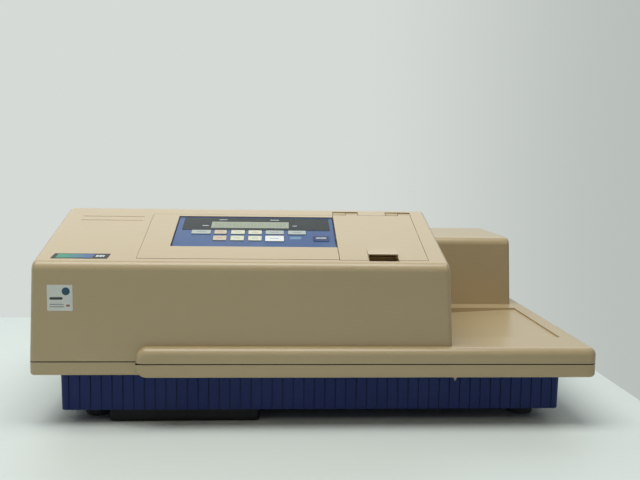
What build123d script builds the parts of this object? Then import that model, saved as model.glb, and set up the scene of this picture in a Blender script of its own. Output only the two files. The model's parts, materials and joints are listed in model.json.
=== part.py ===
import os
from math import acos, cos, pi, radians, sin, tan

from build123d import *

os.makedirs("parts", exist_ok=True)

# Overall size and the heights of the stacked shells
width = 580.0
depth = 381.0
foot_height = 13.4
tub_height = 40.6
pan_height = 13.8
seam_gap = 1.0
band_height = 15.7
wall = 3.0
fit_gap = 0.3

left = -width / 2
right = width / 2
front = -depth / 2
back = depth / 2
tub_top = foot_height + tub_height
pan_top = tub_top + pan_height
cover_bottom = pan_top + seam_gap
shelf_z = cover_bottom + band_height

# Tall housing: upright face, sloped top, ridge and the fall towards the back
lip_depth = 10.5
housing_width = 430.5
face_rise = 84.0
slope_angle = 17.5
slope_length = 151.0
fall_angle = 6.0
left_draft = 2.3
right_draft = 3.5
face_radius = 10.0
ridge_radius = 12.0
side_radius = 5.0

housing_front = front + lip_depth
housing_right = left + housing_width
slope_z = shelf_z + face_rise
slope_rise = tan(radians(slope_angle))
fall_rate = tan(radians(fall_angle))
ridge_y = housing_front + slope_length * cos(radians(slope_angle))
ridge_z = slope_z + slope_length * sin(radians(slope_angle))
slope_plane = Plane(
    origin=(left, housing_front, slope_z),
    x_dir=(1, 0, 0),
    z_dir=(0, -sin(radians(slope_angle)), cos(radians(slope_angle))),
)

# Front lip, right shelf and the low block behind the shelf
lip_start = 106.7
lip_end_radius = 12.0
lip_end_fill = 8.2
shelf_corner = 9.0
band_radius = 7.5
block_inset = 19.0
block_front = 243.0
block_rise = 89.5
block_draft = 2.8
block_face_radius = 10.0
block_side_radius = 4.0

lip_left = left + lip_start
lip_room = lip_left + lip_end_fill
lip_root = 20.0
block_root = 20.0
block_right = right - block_inset
block_y = front + block_front
block_top = shelf_z + block_rise

# Recess in the shelf that the plate drawer slides out over
recess_inset = 21.5
recess_front = 52.0
recess_back = 216.5
recess_deep = 8.5
recess_shallow = 1.8

# Sloped panel: positions are taken along the slope from its front edge
seat_level = 4.0
seat_thickness = 4.0
seat_rim = 6.0
slope_over = 2.0
panel_left = 105.7
panel_right = 312.2
panel_low = 13.4
panel_high = 134.5
front_seam = 0.9
keypad_left = 135.5
keypad_low = 44.0
keypad_high = 129.0
keypad_sink = 1.6
overlay_thickness = 0.6
key_stand = 0.7
key_travel = 0.4
key_gap = 0.3
key_corner = 0.8
board_thickness = 1.6

# Cuvette lid and its hinge
panel_seam = 0.6
lid_left = panel_right + panel_seam
lid_right = 404.4
lid_low = 12.4
lid_high = 136.0
lid_thickness = 3.0
lid_relief = 1.1
lid_gap = 0.4
hinge_s = 141.2
hinge_sink = 3.2
barrel_radius = 3.5
pin_radius = 1.2
running_gap = 0.05
slot_reach = 5.3
slot_floor = 4.0
web_half = 2.2
hinge_length = 30.0
slot_offset = 0.2
slot_overhang = 0.8
hinge_slots = (
    (lid_left + slot_offset, lid_left + slot_offset + hinge_length),
    (lid_right + slot_overhang - hinge_length, lid_right + slot_overhang),
)
knuckle_gap = 0.5
hood_left = 343.0
hood_right = 374.0
mouth_low = 9.6
mouth_high = 21.4
hood_high = 44.4
hood_rise = 2.6
hood_skin = 1.2
scoop_reach = 8.0
hood_hollow = 9.0
hood_sink = 0.5

# Cuvette well and holder, upright under the sloped lid
well_left = 324.0
well_right = 396.0
well_front = 46.0
well_back = 118.0
well_floor = 150.0
well_skin = 2.0
holder_side = 36.0
holder_depth = 36.0
cuvette_side = 12.8
cuvette_depth = 33.0

# Badge plate and the two shallow grooves on the sloped top
badge_left = 20.0
badge_length = 56.5
badge_low = 11.5
badge_rise = 12.0
badge_lean = 2.0
badge_thickness = 0.8
groove_left = 27.0
groove_right = 96.0
groove_places = (114.0, 125.5)
groove_width = 2.0
groove_depth = 0.25

# Ribbed base tub and what stands under it
tub_left = 26.0
tub_right = width - 29.5
tub_front = 25.0
tub_back = depth - 15.0
tub_wall = 3.0
tub_draft = 0.8
rib_pitch = 11.0
groove_cut = 0.9
groove_open = 1.4
foot_radius = 15.0
foot_inset_x = 32.0
foot_inset_y = 35.0
duct_left = 75.0
duct_right = 231.0
duct_front = 27.0
duct_back = 250.0
duct_clear = 1.6

# Plate drawer: the tray, its rails and its rack drive
plate_length = 127.8
plate_width = 85.5
plate_clear = 0.4
drawer_travel = 120.0
fascia_inner = housing_width - 5.2
tray_length = 187.3
tray_left = fascia_inner - tray_length
tray_front = 64.0
tray_back = 200.0
tray_bottom = 85.0
tray_thickness = 8.0
pocket_left = fascia_inner - 96.3
pocket_depth = 5.0
pocket_ledge = 5.0
fascia_low = 83.6
fascia_high = 111.4
fascia_front = 61.4
fascia_back = 206.6
rail_radius = 3.0
rail_places = (84.0, 176.0)
rail_z = 79.0
bush_width = 14.0
bush_length = 16.0
bush_starts = (tray_left + 2.0, tray_left + 42.0)
module = 1.0
pinion_teeth = 20
pressure_angle = 20.0
backlash = 0.10
pinion_x = fascia_inner - 23.3
rack_body = 3.4
shaft_radius = 2.5
motor_side = 42.0
motor_height = 20.0


def block(x_span, y_span, z_span, mode=Mode.ADD):
    """Box between two X, two Y and two Z values, in the part being built."""
    centre = tuple((low + high) / 2 for low, high in (x_span, y_span, z_span))
    with Locations(centre):
        Box(*(high - low for low, high in (x_span, y_span, z_span)), mode=mode)


def at_x(offset):
    """X of a place measured from the left edge of the housing."""
    return left + offset


def at_y(offset):
    """Y of a place measured from the front of the lip."""
    return front + offset


def spread_x(low, high):
    """Pair of X values from two distances off the left edge."""
    return at_x(low), at_x(high)


def spread_y(low, high):
    """Pair of Y values from two distances off the front."""
    return at_y(low), at_y(high)


def slope_slab(x_span, s_span, low, high, mode=Mode.ADD, radius=0.0):
    """Slab lying on the sloped top, between two heights over its surface."""
    with BuildSketch(slope_plane.offset(low)) as plan:
        with Locations((sum(x_span) / 2, sum(s_span) / 2)):
            if radius > 0:
                RectangleRounded(x_span[1] - x_span[0], s_span[1] - s_span[0], radius)
            else:
                Rectangle(x_span[1] - x_span[0], s_span[1] - s_span[0])
    extrude(plan.sketch, amount=high - low, mode=mode)


def rod_x(radius, x_span, y, z, mode=Mode.ADD):
    """Round bar along X."""
    with BuildSketch(Plane.YZ.offset(x_span[0])) as end:
        with Locations((y, z)):
            Circle(radius)
    extrude(end.sketch, amount=x_span[1] - x_span[0], mode=mode)


def rod_y(radius, y_span, x, z, mode=Mode.ADD):
    """Round bar along Y."""
    with BuildSketch(Plane.XZ.offset(-y_span[1])) as end:
        with Locations((x, z)):
            Circle(radius)
    extrude(end.sketch, amount=y_span[1] - y_span[0], mode=mode)


def rod_z(radius, z_span, x, y, mode=Mode.ADD):
    """Round bar along Z."""
    with BuildSketch(Plane.XY.offset(z_span[0])) as end:
        with Locations((x, y)):
            Circle(radius)
    extrude(end.sketch, amount=z_span[1] - z_span[0], mode=mode)


def slope_top(y, inset=0.0):
    """Height of the sloped top at y, sunk square to it by inset."""
    return slope_z + (y - housing_front) * slope_rise - inset / cos(radians(slope_angle))


def fall_top(y, inset=0.0):
    """Height of the rear top at y, sunk square to it by inset."""
    return ridge_z - (y - ridge_y) * fall_rate - inset / cos(radians(fall_angle))


def ridge_at(inset):
    """Y of the ridge once both tops are sunk by inset."""
    gain = inset / cos(radians(slope_angle)) - inset / cos(radians(fall_angle))
    return ridge_y + gain / (slope_rise + fall_rate)


def right_face(z):
    """X of the housing's right face at height z."""
    return housing_right - (z - shelf_z) * tan(radians(right_draft))


def left_face(z):
    """X of the housing's left face at height z."""
    return left + (z - cover_bottom) * tan(radians(left_draft))


def finish(builder, label):
    """Label a finished piece and write it as its own file."""
    builder.part.label = label
    export_step(builder.part, f"parts/{label}.step")


def housing_form(inset, bottom):
    """Tall housing, or its hollow when inset, from its side outline."""
    y_ridge = ridge_at(inset)
    y_front = housing_front + inset
    y_back = back - inset
    with BuildPart() as form:
        with BuildSketch(Plane.YZ.offset(left)):
            with BuildLine():
                Polyline(
                    (y_front, bottom),
                    (y_front, slope_top(y_front, inset)),
                    (y_ridge, slope_top(y_ridge, inset)),
                    (y_back, fall_top(y_back, inset)),
                    (y_back, bottom),
                    close=True,
                )
            make_face()
            fillet(vertices().sort_by(Axis.Y)[-1], radius=ridge_radius - inset)
            upper_front = vertices().group_by(Axis.X)[0].sort_by(Axis.Y)[-1]
            fillet(upper_front, radius=face_radius - inset)
        extrude(amount=housing_width)
        with BuildSketch(Plane.XZ):
            with BuildLine():
                Polyline(
                    (left_face(bottom) + inset, bottom),
                    (left_face(ridge_z + wall) + inset, ridge_z + wall),
                    (right_face(ridge_z + wall) - inset, ridge_z + wall),
                    (right_face(bottom) - inset, bottom),
                    close=True,
                )
            make_face()
        extrude(amount=depth, both=True, mode=Mode.INTERSECT)
    return form.part


def soften_sides(form):
    """Round the side edges of the housing, all but its foot."""
    with BuildPart() as soft:
        add(form)
        ends = (soft.faces().sort_by(Axis.X)[0], soft.faces().sort_by(Axis.X)[-1])
        for face in ends:
            keen = [e for e in face.edges() if e.center().Z > cover_bottom + 1]
            fillet(keen, radius=side_radius)
    return soft.part


def lip_band(low, high, outer, y_back, soft):
    """Band of the lip and the shelf, round at its left end and soft round its outer face."""
    with BuildPart() as band:
        with BuildSketch(Plane.XY.offset(low)):
            with Locations(((lip_left + right) / 2, (front + y_back) / 2)):
                Rectangle(right - lip_left, y_back - front)
            fillet(vertices().group_by(Axis.X)[-1], radius=shelf_corner)
        extrude(amount=high - low)
        outer_edges = band.edges().filter_by(lambda e: abs(e.center().Z - outer) < 1)
        fillet(outer_edges.sort_by(Axis.X)[0], radius=lip_end_radius)
        outer_edges = band.edges().filter_by(lambda e: abs(e.center().Z - outer) < 1)
        fillet(outer_edges.filter_by(Axis.X).sort_by(Axis.Y)[0], radius=soft)
    return band.part


def room_plan():
    """Plan of the room in the pan, one wall in from the housing, the lip and the shelf."""
    with BuildSketch() as plan:
        with BuildLine():
            Polyline(
                (left + wall, housing_front + wall),
                (lip_room, housing_front + wall),
                (lip_room, front + wall),
                (right - wall, front + wall),
                (right - wall, back - wall),
                (left + wall, back - wall),
                close=True,
            )
        make_face()
        fillet(vertices().group_by(Axis.X)[-1], radius=shelf_corner - wall)
        fillet(vertices().group_by(Axis.X)[0], radius=side_radius - wall)
    return plan.sketch


def block_form(inset, bottom):
    """Low block behind the shelf, or its hollow when inset, from its front outline."""
    lean = tan(radians(block_draft))
    root_x = housing_right - (0.0 if inset else block_root)
    with BuildPart() as form:
        with BuildSketch(Plane.XZ.offset(inset - back)):
            with BuildLine():
                Polyline(
                    (root_x, bottom),
                    (block_right - inset - (bottom - shelf_z) * lean, bottom),
                    (block_right - inset - (block_rise - inset) * lean, block_top - inset),
                    (root_x, block_top - inset),
                    close=True,
                )
            make_face()
        extrude(amount=back - block_y - 2 * inset)
        top_edges = form.edges().group_by(Axis.Z)[-1]
        fillet(top_edges.filter_by(Axis.X).sort_by(Axis.Y)[0], radius=block_face_radius - inset)
        top_edges = form.edges().group_by(Axis.Z)[-1]
        fillet(top_edges.filter_by(Axis.Y).sort_by(Axis.X)[-1], radius=block_side_radius - inset)
    return form.part


def recess_form(grow, lift):
    """Wedge that sinks the shelf recess, or the room kept round its walls."""
    low = shelf_z - recess_deep - grow
    high = shelf_z - recess_shallow - grow
    end = right - recess_inset + grow
    with BuildPart() as form:
        with BuildSketch(Plane.XZ.offset(-at_y(recess_back) - grow)):
            with BuildLine():
                Polyline(
                    (right_face(low) - grow, low),
                    (end, high),
                    (end, shelf_z + lift),
                    (right_face(shelf_z + lift) - grow, shelf_z + lift),
                    close=True,
                )
            make_face()
        extrude(amount=recess_back - recess_front + 2 * grow)
    return form.part


def side_plane(offset):
    """Plane square to X at a distance off the left edge: x runs up the slope."""
    return Plane(
        origin=slope_plane.origin + Vector(offset, 0, 0),
        x_dir=slope_plane.y_dir,
        z_dir=(1, 0, 0),
    )


def slope_bar(radius, x_span, s, height, mode=Mode.ADD):
    """Round bar along X at a place on the slope."""
    with BuildSketch(side_plane(x_span[0])) as end:
        with Locations((s, height)):
            Circle(radius)
    extrude(end.sketch, amount=x_span[1] - x_span[0], mode=mode)


def slope_s(y, height):
    """Distance up the slope of a point at y and a height over the slope."""
    run = y - housing_front + height * sin(radians(slope_angle))
    return run / cos(radians(slope_angle))


# Places that several pieces share
well_span_s = (slope_s(at_y(well_front), -seat_level), slope_s(at_y(well_back), -seat_level))
seat_bottom = -seat_level - seat_thickness
hinge_height = -hinge_sink
knuckle_middle = [(low + high) / 2 for low, high in hinge_slots]
cover_knuckles = [
    (low + knuckle_gap, middle - knuckle_gap / 2) for (low, high), middle in zip(hinge_slots, knuckle_middle)
]
lid_knuckles = [
    (middle + knuckle_gap / 2, high - knuckle_gap) for (low, high), middle in zip(hinge_slots, knuckle_middle)
]
pin_spans = [(low - 4.0, high + 4.0) for low, high in hinge_slots]
boss_radius = 5.0
boss_core = 1.6
boss_rise = 10.0
boss_inset = 7.5
boss_places = (
    (left + boss_inset, housing_front + boss_inset),
    (left + boss_inset, back - boss_inset),
    (right - boss_inset, front + boss_inset),
    (right - boss_inset, back - boss_inset),
)
screw_head_radius = 3.4
screw_head_sink = 4.0
panel_cut_low = 92.0
panel_cut_high = 168.0
panel_cut_left = 60.0
panel_cut_right = 330.0

# Upper cover: one beige moulding with the housing, lip, shelf and rear block
housing_outer = soften_sides(housing_form(0.0, cover_bottom))
housing_hollow = housing_form(wall, cover_bottom - 1)
with BuildPart() as band_hollow:
    block(
        (lip_room, right - wall),
        (front + wall, back - wall),
        (cover_bottom - 1, shelf_z - wall),
    )
    fillet(band_hollow.edges().filter_by(Axis.Z), radius=shelf_corner - wall)
    fillet(band_hollow.faces().sort_by(Axis.Z)[-1].edges(), radius=band_radius - wall)
    add(recess_form(wall, wall), mode=Mode.SUBTRACT)

with BuildPart() as upper_cover:
    add(lip_band(cover_bottom, shelf_z, shelf_z, back, band_radius))
    add(recess_form(0.0, 1.0), mode=Mode.SUBTRACT)
    add(housing_outer)
    add(block_form(0.0, cover_bottom))
    add(housing_hollow, mode=Mode.SUBTRACT)
    add(band_hollow.part, mode=Mode.SUBTRACT)
    add(block_form(wall, shelf_z - wall - 1), mode=Mode.SUBTRACT)
    # Seat under the control panel and the cuvette lid
    slope_slab(
        (panel_left - seat_rim, lid_right + seat_rim),
        (seat_rim + 1, hinge_s + slot_reach + 3),
        seat_bottom,
        -wall + 0.5,
    )
    slope_slab(
        (panel_left - fit_gap, lid_left - lid_gap),
        (panel_low - front_seam, panel_high + fit_gap),
        -seat_level,
        slope_over,
        mode=Mode.SUBTRACT,
    )
    slope_slab(
        (panel_left + seat_rim, panel_right - seat_rim),
        (panel_low + seat_rim, panel_high - seat_rim),
        seat_bottom - 1,
        -seat_level + 1,
        mode=Mode.SUBTRACT,
    )
    slope_slab(
        (lid_left - lid_gap - 0.1, lid_right + lid_gap),
        (lid_low - front_seam, lid_high + lid_gap),
        -seat_level,
        slope_over,
        mode=Mode.SUBTRACT,
    )
    slope_slab((well_left, well_right), well_span_s, seat_bottom - 1, -seat_level + 1, mode=Mode.SUBTRACT)
    scoop_span_s = (mouth_low, mouth_high + scoop_reach)
    slope_slab((hood_left, hood_right), scoop_span_s, seat_bottom + 1, slope_over, mode=Mode.SUBTRACT)
    for slot, own in zip(hinge_slots, cover_knuckles):
        slot_span_s = (hinge_s - slot_reach, hinge_s + slot_reach)
        slope_slab(slot, slot_span_s, seat_bottom - slot_floor, slope_over, mode=Mode.SUBTRACT)
        slope_bar(barrel_radius, own, hinge_s, hinge_height)
        slope_slab(own, (hinge_s, hinge_s + slot_reach + 0.5), hinge_height - web_half, hinge_height + web_half)
    for span in pin_spans:
        slope_bar(pin_radius, span, hinge_s, hinge_height, mode=Mode.SUBTRACT)
    # Badge pocket and grooves
    with BuildSketch(slope_plane.offset(-badge_thickness)):
        with BuildLine():
            Polyline(
                (badge_left, badge_low),
                (badge_left + badge_length, badge_low),
                (badge_left + badge_length + badge_lean, badge_low + badge_rise),
                (badge_left + badge_lean, badge_low + badge_rise),
                close=True,
            )
        make_face()
    extrude(amount=badge_thickness + 1, mode=Mode.SUBTRACT)
    for place in groove_places:
        slope_slab(
            (groove_left, groove_right),
            (place - groove_width / 2, place + groove_width / 2),
            -groove_depth,
            1.0,
            mode=Mode.SUBTRACT,
            radius=groove_width / 2 - 0.05,
        )
    # Drawer doorway in the right wall
    block(
        (housing_right - wall - 6, housing_right + 3),
        (at_y(fascia_front) - lid_gap, at_y(fascia_back) + lid_gap),
        (fascia_low - lid_gap, fascia_high + lid_gap),
        mode=Mode.SUBTRACT,
    )
    # Rear panel opening and screw bosses
    block(
        spread_x(panel_cut_left, panel_cut_right),
        (back - wall - 1, back + 1),
        (panel_cut_low, panel_cut_high),
        mode=Mode.SUBTRACT,
    )
    for x, y in boss_places:
        rod_z(boss_radius, (cover_bottom, cover_bottom + boss_rise + 2), x, y)
        rod_z(boss_core, (cover_bottom - 1, cover_bottom + boss_rise), x, y, mode=Mode.SUBTRACT)
finish(upper_cover, "upper_cover")

# Lower pan: the tray that closes the cover from below and rests on the tub
pan_radius = 3.0
pan_floor = tub_top + wall
pan_lap = 10.0
tab_x = 432.0
tab_width = 4.3
tab_drop = 4.0
with BuildPart() as lower_pan:
    with BuildSketch(Plane.XY.offset(tub_top)):
        with Locations((0, (housing_front + back) / 2)):
            Rectangle(width, back - housing_front)
        fillet(vertices().group_by(Axis.X)[0], radius=side_radius)
        fillet(vertices().group_by(Axis.X)[-1].sort_by(Axis.Y)[-1], radius=shelf_corner)
    extrude(amount=pan_height)
    fillet(lower_pan.faces().sort_by(Axis.Z)[0].edges(), radius=pan_radius)
    add(lip_band(tub_top, pan_top, tub_top, housing_front + lip_root, pan_radius))
    with BuildSketch(Plane.XY.offset(pan_floor)):
        add(room_plan())
    extrude(amount=pan_height, mode=Mode.SUBTRACT)
    block(
        spread_x(tub_left + pan_lap, tub_right - pan_lap),
        spread_y(tub_front + pan_lap, tub_back - pan_lap),
        (tub_top - 1, pan_floor + 1),
        mode=Mode.SUBTRACT,
    )
    for x, y in boss_places:
        rod_z(boss_radius, (pan_floor - 0.5, pan_top), x, y)
        rod_z(boss_core, (tub_top - 1, pan_top + 1), x, y, mode=Mode.SUBTRACT)
        rod_z(screw_head_radius + 0.2, (tub_top - 1, tub_top + screw_head_sink), x, y, mode=Mode.SUBTRACT)
    with BuildSketch(Plane.XZ.offset(-at_y(tab_width))):
        with BuildLine():
            Polyline(
                (at_x(tab_x) - tab_width / 2, tub_top + 0.5),
                (at_x(tab_x) + tab_width / 2, tub_top + 0.5),
                (at_x(tab_x), tub_top - tab_drop),
                close=True,
            )
        make_face()
    extrude(amount=1.2)
finish(lower_pan, "lower_pan")

# Screws that hold the cover down on the pan, one in each boss
with BuildPart() as cover_screws:
    for x, y in boss_places:
        rod_z(screw_head_radius, (tub_top + screw_head_sink - 2.6, tub_top + screw_head_sink), x, y)
        rod_z(boss_core, (tub_top + screw_head_sink, cover_bottom + boss_rise - 1), x, y)
finish(cover_screws, "cover_screws")

# Base tub: blue, ribbed all round, with air slots in its floor
tub_radius = 6.0
vent_length = 60.0
vent_width = 4.0
vent_pitch = 9.0
vent_count = 8
vent_x = 400.0
vent_y = 190.0
tub_middle = ((at_x(tub_left) + at_x(tub_right)) / 2, (at_y(tub_front) + at_y(tub_back)) / 2)
tub_size = (tub_right - tub_left, tub_back - tub_front)
front_ribs = int(tub_size[0] / rib_pitch)
side_ribs = int(tub_size[1] / rib_pitch)
foot_places = [
    (x, y)
    for x in (at_x(tub_left + foot_inset_x), at_x(tub_right - foot_inset_x))
    for y in (at_y(tub_front + foot_inset_y), at_y(tub_back - foot_inset_y))
]
with BuildPart() as base_tub:
    with BuildSketch(Plane.XY.offset(tub_top)):
        with Locations(tub_middle):
            RectangleRounded(*tub_size, tub_radius)
    extrude(amount=-tub_height, taper=tub_draft)
    with BuildSketch(Plane.XY.offset(foot_height + tub_wall)):
        with Locations(tub_middle):
            RectangleRounded(tub_size[0] - 2.4 * tub_wall, tub_size[1] - 2.4 * tub_wall, tub_radius / 2)
    extrude(amount=tub_height, mode=Mode.SUBTRACT)
    with BuildSketch(Plane.XY.offset(foot_height - 1)):
        for side in (-1, 1):
            with Locations((tub_middle[0], tub_middle[1] + side * tub_size[1] / 2)):
                with GridLocations(rib_pitch, 1, front_ribs, 1):
                    Rectangle(groove_open, 2 * (groove_cut + 0.5))
            with Locations((tub_middle[0] + side * tub_size[0] / 2, tub_middle[1])):
                with GridLocations(1, rib_pitch, 1, side_ribs):
                    Rectangle(2 * (groove_cut + 0.5), groove_open)
    extrude(amount=tub_height + 2, mode=Mode.SUBTRACT)
    with BuildSketch(Plane.XY.offset(foot_height - 1)):
        with Locations((at_x(vent_x), at_y(vent_y))):
            with GridLocations(1, vent_pitch, 1, vent_count):
                SlotOverall(vent_length, vent_width)
    extrude(amount=tub_wall + 2, mode=Mode.SUBTRACT)
    for x, y in foot_places:
        rod_z(boss_core, (foot_height - 1, foot_height + tub_wall + 1), x, y, mode=Mode.SUBTRACT)
finish(base_tub, "base_tub")

# Dark duct cover under the front left of the tub, just clear of the table
duct_wall = 2.0
with BuildPart() as underside_cover:
    block(spread_x(duct_left, duct_right), spread_y(duct_front, duct_back), (duct_clear, foot_height))
    fillet(underside_cover.edges().filter_by(Axis.Z), radius=4.0)
    chamfer(underside_cover.faces().sort_by(Axis.Z)[0].edges(), length=1.0)
    block(
        spread_x(duct_left + duct_wall, duct_right - duct_wall),
        spread_y(duct_front + duct_wall, duct_back - duct_wall),
        (duct_clear + duct_wall, foot_height + 1),
        mode=Mode.SUBTRACT,
    )
finish(underside_cover, "underside_cover")

# Rubber feet, turned, with a sunk screw in each
foot_bore = 5.0
foot_rounding = 2.0
with BuildPart() as rubber_feet:
    for x, y in foot_places:
        with BuildSketch(Plane.XY):
            with Locations((x, y)):
                Circle(foot_radius - 1.0)
                Circle(foot_bore, mode=Mode.SUBTRACT)
        extrude(amount=foot_height - 2.5)
        with BuildSketch(Plane.XY.offset(foot_height)):
            with Locations((x, y)):
                Circle(foot_radius)
                Circle(boss_core, mode=Mode.SUBTRACT)
        extrude(amount=-5.0)
    lower_rims = rubber_feet.edges().group_by(Axis.Z)[0].filter_by(lambda e: e.radius > foot_bore + 1)
    fillet(lower_rims, radius=foot_rounding)
finish(rubber_feet, "rubber_feet")

with BuildPart() as foot_screws:
    for x, y in foot_places:
        rod_z(screw_head_radius, (foot_height - 7.6, foot_height - 5.0), x, y)
        rod_z(boss_core, (foot_height - 5.0, foot_height + tub_wall), x, y)
finish(foot_screws, "foot_screws")

# Control panel plate, let into the seat flush with the sloped top
window_left = 142.5
window_right = 307.0
window_low = 90.5
window_high = 126.5
lcd_left = 174.0
lcd_right = 261.0
lcd_low = 97.0
lcd_high = 115.5
panel_floor = -keypad_sink
key_rows = {
    "key_top_1": (154.0, 174.9, 78.9, 89.3),
    "key_top_2": (178.9, 192.4, 78.9, 89.3),
    "key_top_3": (197.3, 212.2, 78.9, 89.3),
    "key_top_4": (216.2, 231.0, 78.9, 89.3),
    "key_top_5": (235.2, 255.4, 78.9, 89.3),
    "key_top_6": (259.9, 279.8, 78.9, 89.3),
    "key_low_1": (178.6, 193.0, 61.5, 73.8),
    "key_low_2": (197.5, 212.0, 61.5, 73.8),
    "key_low_3": (216.6, 231.2, 61.5, 73.8),
    "key_low_4": (235.0, 255.4, 60.0, 74.6),
    "drawer_key": (287.5, 304.4, 62.0, 76.0),
}
with BuildPart() as control_panel_plate:
    slope_slab((panel_left, panel_right), (panel_low, panel_high), -seat_level, 0.0)
    keypad_span_x = (keypad_left, panel_right + 1)
    slope_slab(keypad_span_x, (keypad_low, keypad_high), panel_floor, 1.0, mode=Mode.SUBTRACT)
    slope_slab((lcd_left, lcd_right), (lcd_low, lcd_high), -seat_level - 1, 1.0, mode=Mode.SUBTRACT)
    for x_low, x_high, s_low, s_high in key_rows.values():
        slope_slab(
            (x_low - key_gap, x_high + key_gap),
            (s_low - key_gap, s_high + key_gap),
            -seat_level - 1,
            1.0,
            mode=Mode.SUBTRACT,
            radius=key_corner + key_gap,
        )
finish(control_panel_plate, "control_panel_plate")

overlay_top = panel_floor + overlay_thickness
with BuildPart() as keypad_overlay:
    slope_slab(
        (keypad_left + key_gap, panel_right - key_gap),
        (keypad_low + key_gap, keypad_high - key_gap),
        panel_floor,
        overlay_top,
        radius=1.0,
    )
    slope_slab((window_left, window_right), (window_low, window_high), -seat_level, 1.0, mode=Mode.SUBTRACT)
    for x_low, x_high, s_low, s_high in key_rows.values():
        slope_slab(
            (x_low - key_gap, x_high + key_gap),
            (s_low - key_gap, s_high + key_gap),
            -seat_level,
            1.0,
            mode=Mode.SUBTRACT,
            radius=key_corner + key_gap,
        )
finish(keypad_overlay, "keypad_overlay")

with BuildPart() as display_window:
    slope_slab((window_left, window_right), (window_low, window_high), panel_floor, overlay_top + 0.2)
    slope_slab((lcd_left, lcd_right), (lcd_low, lcd_high), -seat_level, 1.0, mode=Mode.SUBTRACT)
finish(display_window, "display_window")

board_top = -seat_level - key_travel - 0.3
with BuildPart() as lcd_module:
    slope_slab((lcd_left, lcd_right), (lcd_low, lcd_high), board_top, overlay_top)
finish(lcd_module, "lcd_module")

board_left = panel_left + seat_rim + 4
board_right = panel_right - seat_rim - 1
board_low = 50.0
board_high = panel_high - seat_rim - 4
with BuildPart() as keypad_board:
    slope_slab((board_left, board_right), (board_low, board_high), board_top - board_thickness, board_top)
    for place in (board_left + 5, board_right - 5):
        for s in (board_low + 5, board_high - 5):
            with BuildSketch(slope_plane.offset(board_top)):
                with Locations((place, s)):
                    Circle(2.5)
            extrude(amount=-seat_level - board_top)
finish(keypad_board, "keypad_board")

for name, (x_low, x_high, s_low, s_high) in key_rows.items():
    with BuildPart() as key_cap:
        slope_slab(
            (x_low, x_high),
            (s_low, s_high),
            board_top + key_travel + 0.1,
            overlay_top + key_stand,
            radius=key_corner,
        )
    finish(key_cap, name)

# Cuvette lid: flush flap with two hinge barrels and a finger hood
hood_fall = hood_rise / (hood_high - mouth_high)
with BuildPart() as cuvette_lid:
    slope_slab((lid_left, lid_right), (lid_low, lid_high), -lid_thickness, 0.0)
    slope_slab((hood_left, hood_right), (lid_low - 1, mouth_high), -lid_thickness - 1, 1.0, mode=Mode.SUBTRACT)
    with BuildSketch(side_plane(lid_left)):
        with BuildLine():
            Polyline(
                (lid_high, 0.0),
                (lid_high, -lid_thickness),
                (lid_high - lid_relief, -lid_thickness),
                close=True,
            )
        make_face()
    extrude(amount=lid_right - lid_left, mode=Mode.SUBTRACT)
    with BuildSketch(side_plane(hood_left)):
        with BuildLine():
            Polyline(
                (mouth_high, -hood_sink),
                (hood_high, -hood_sink),
                (hood_high, 0.0),
                (mouth_high, hood_rise),
                close=True,
            )
        make_face()
    extrude(amount=hood_right - hood_left)
    with BuildSketch(side_plane(hood_left + hood_skin)):
        with BuildLine():
            Polyline(
                (mouth_high - 1, -lid_thickness - 1),
                (mouth_high + hood_hollow, -lid_thickness - 1),
                (mouth_high + hood_hollow, hood_rise - hood_skin - hood_hollow * hood_fall),
                (mouth_high - 1, hood_rise - hood_skin),
                close=True,
            )
        make_face()
    extrude(amount=hood_right - hood_left - 2 * hood_skin, mode=Mode.SUBTRACT)
    for own in lid_knuckles:
        slope_bar(barrel_radius, own, hinge_s, hinge_height)
        slope_slab(own, (lid_high - 1, hinge_s), -lid_thickness, -0.4)
        slope_bar(pin_radius + running_gap, own, hinge_s, hinge_height, mode=Mode.SUBTRACT)
finish(cuvette_lid, "cuvette_lid")

with BuildPart() as hinge_pins:
    for span in pin_spans:
        slope_bar(pin_radius, span, hinge_s, hinge_height)
finish(hinge_pins, "hinge_pins")

seal_width = 3.0
with BuildPart() as cuvette_lid_seal:
    slope_slab(
        (well_left - seal_width, well_right + seal_width),
        (well_span_s[0] - 1, well_span_s[1] + seal_width),
        -seat_level,
        -lid_thickness - 0.1,
    )
    slope_slab((well_left, well_right), well_span_s, -seat_level - 1, 0.0, mode=Mode.SUBTRACT)
    hood_span_x = (hood_left - 1, hood_right + 1)
    slope_slab(hood_span_x, (0, well_span_s[0] + 1), -seat_level - 1, 0.0, mode=Mode.SUBTRACT)
finish(cuvette_lid_seal, "cuvette_lid_seal")

# Cuvette well: upright black tray hung from the sloped seat
well_flange = 5.0
holder_x = at_x((well_left + well_right) / 2)
holder_y = at_y((well_front + well_back) / 2)
with BuildPart() as cuvette_well:
    block(
        spread_x(well_left - well_skin, well_right + well_skin),
        spread_y(well_front - well_skin, well_back + well_skin),
        (well_floor - well_skin, ridge_z),
    )
    slope_slab(
        (0, housing_width),
        (-slope_length, 2 * slope_length),
        seat_bottom - well_skin,
        slope_length,
        mode=Mode.SUBTRACT,
    )
    slope_slab(
        (well_left - well_flange, well_right + well_flange),
        (well_span_s[0] - well_flange, well_span_s[1] + well_flange),
        seat_bottom - well_skin,
        seat_bottom,
    )
    block(
        spread_x(well_left, well_right),
        spread_y(well_front, well_back),
        (well_floor, ridge_z),
        mode=Mode.SUBTRACT,
    )
    block(
        (holder_x - holder_side / 2 - fit_gap, holder_x + holder_side / 2 + fit_gap),
        (holder_y - holder_side / 2 - fit_gap, holder_y + holder_side / 2 + fit_gap),
        (well_floor - well_skin - 1, well_floor + 1),
        mode=Mode.SUBTRACT,
    )
finish(cuvette_well, "cuvette_well")

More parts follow.
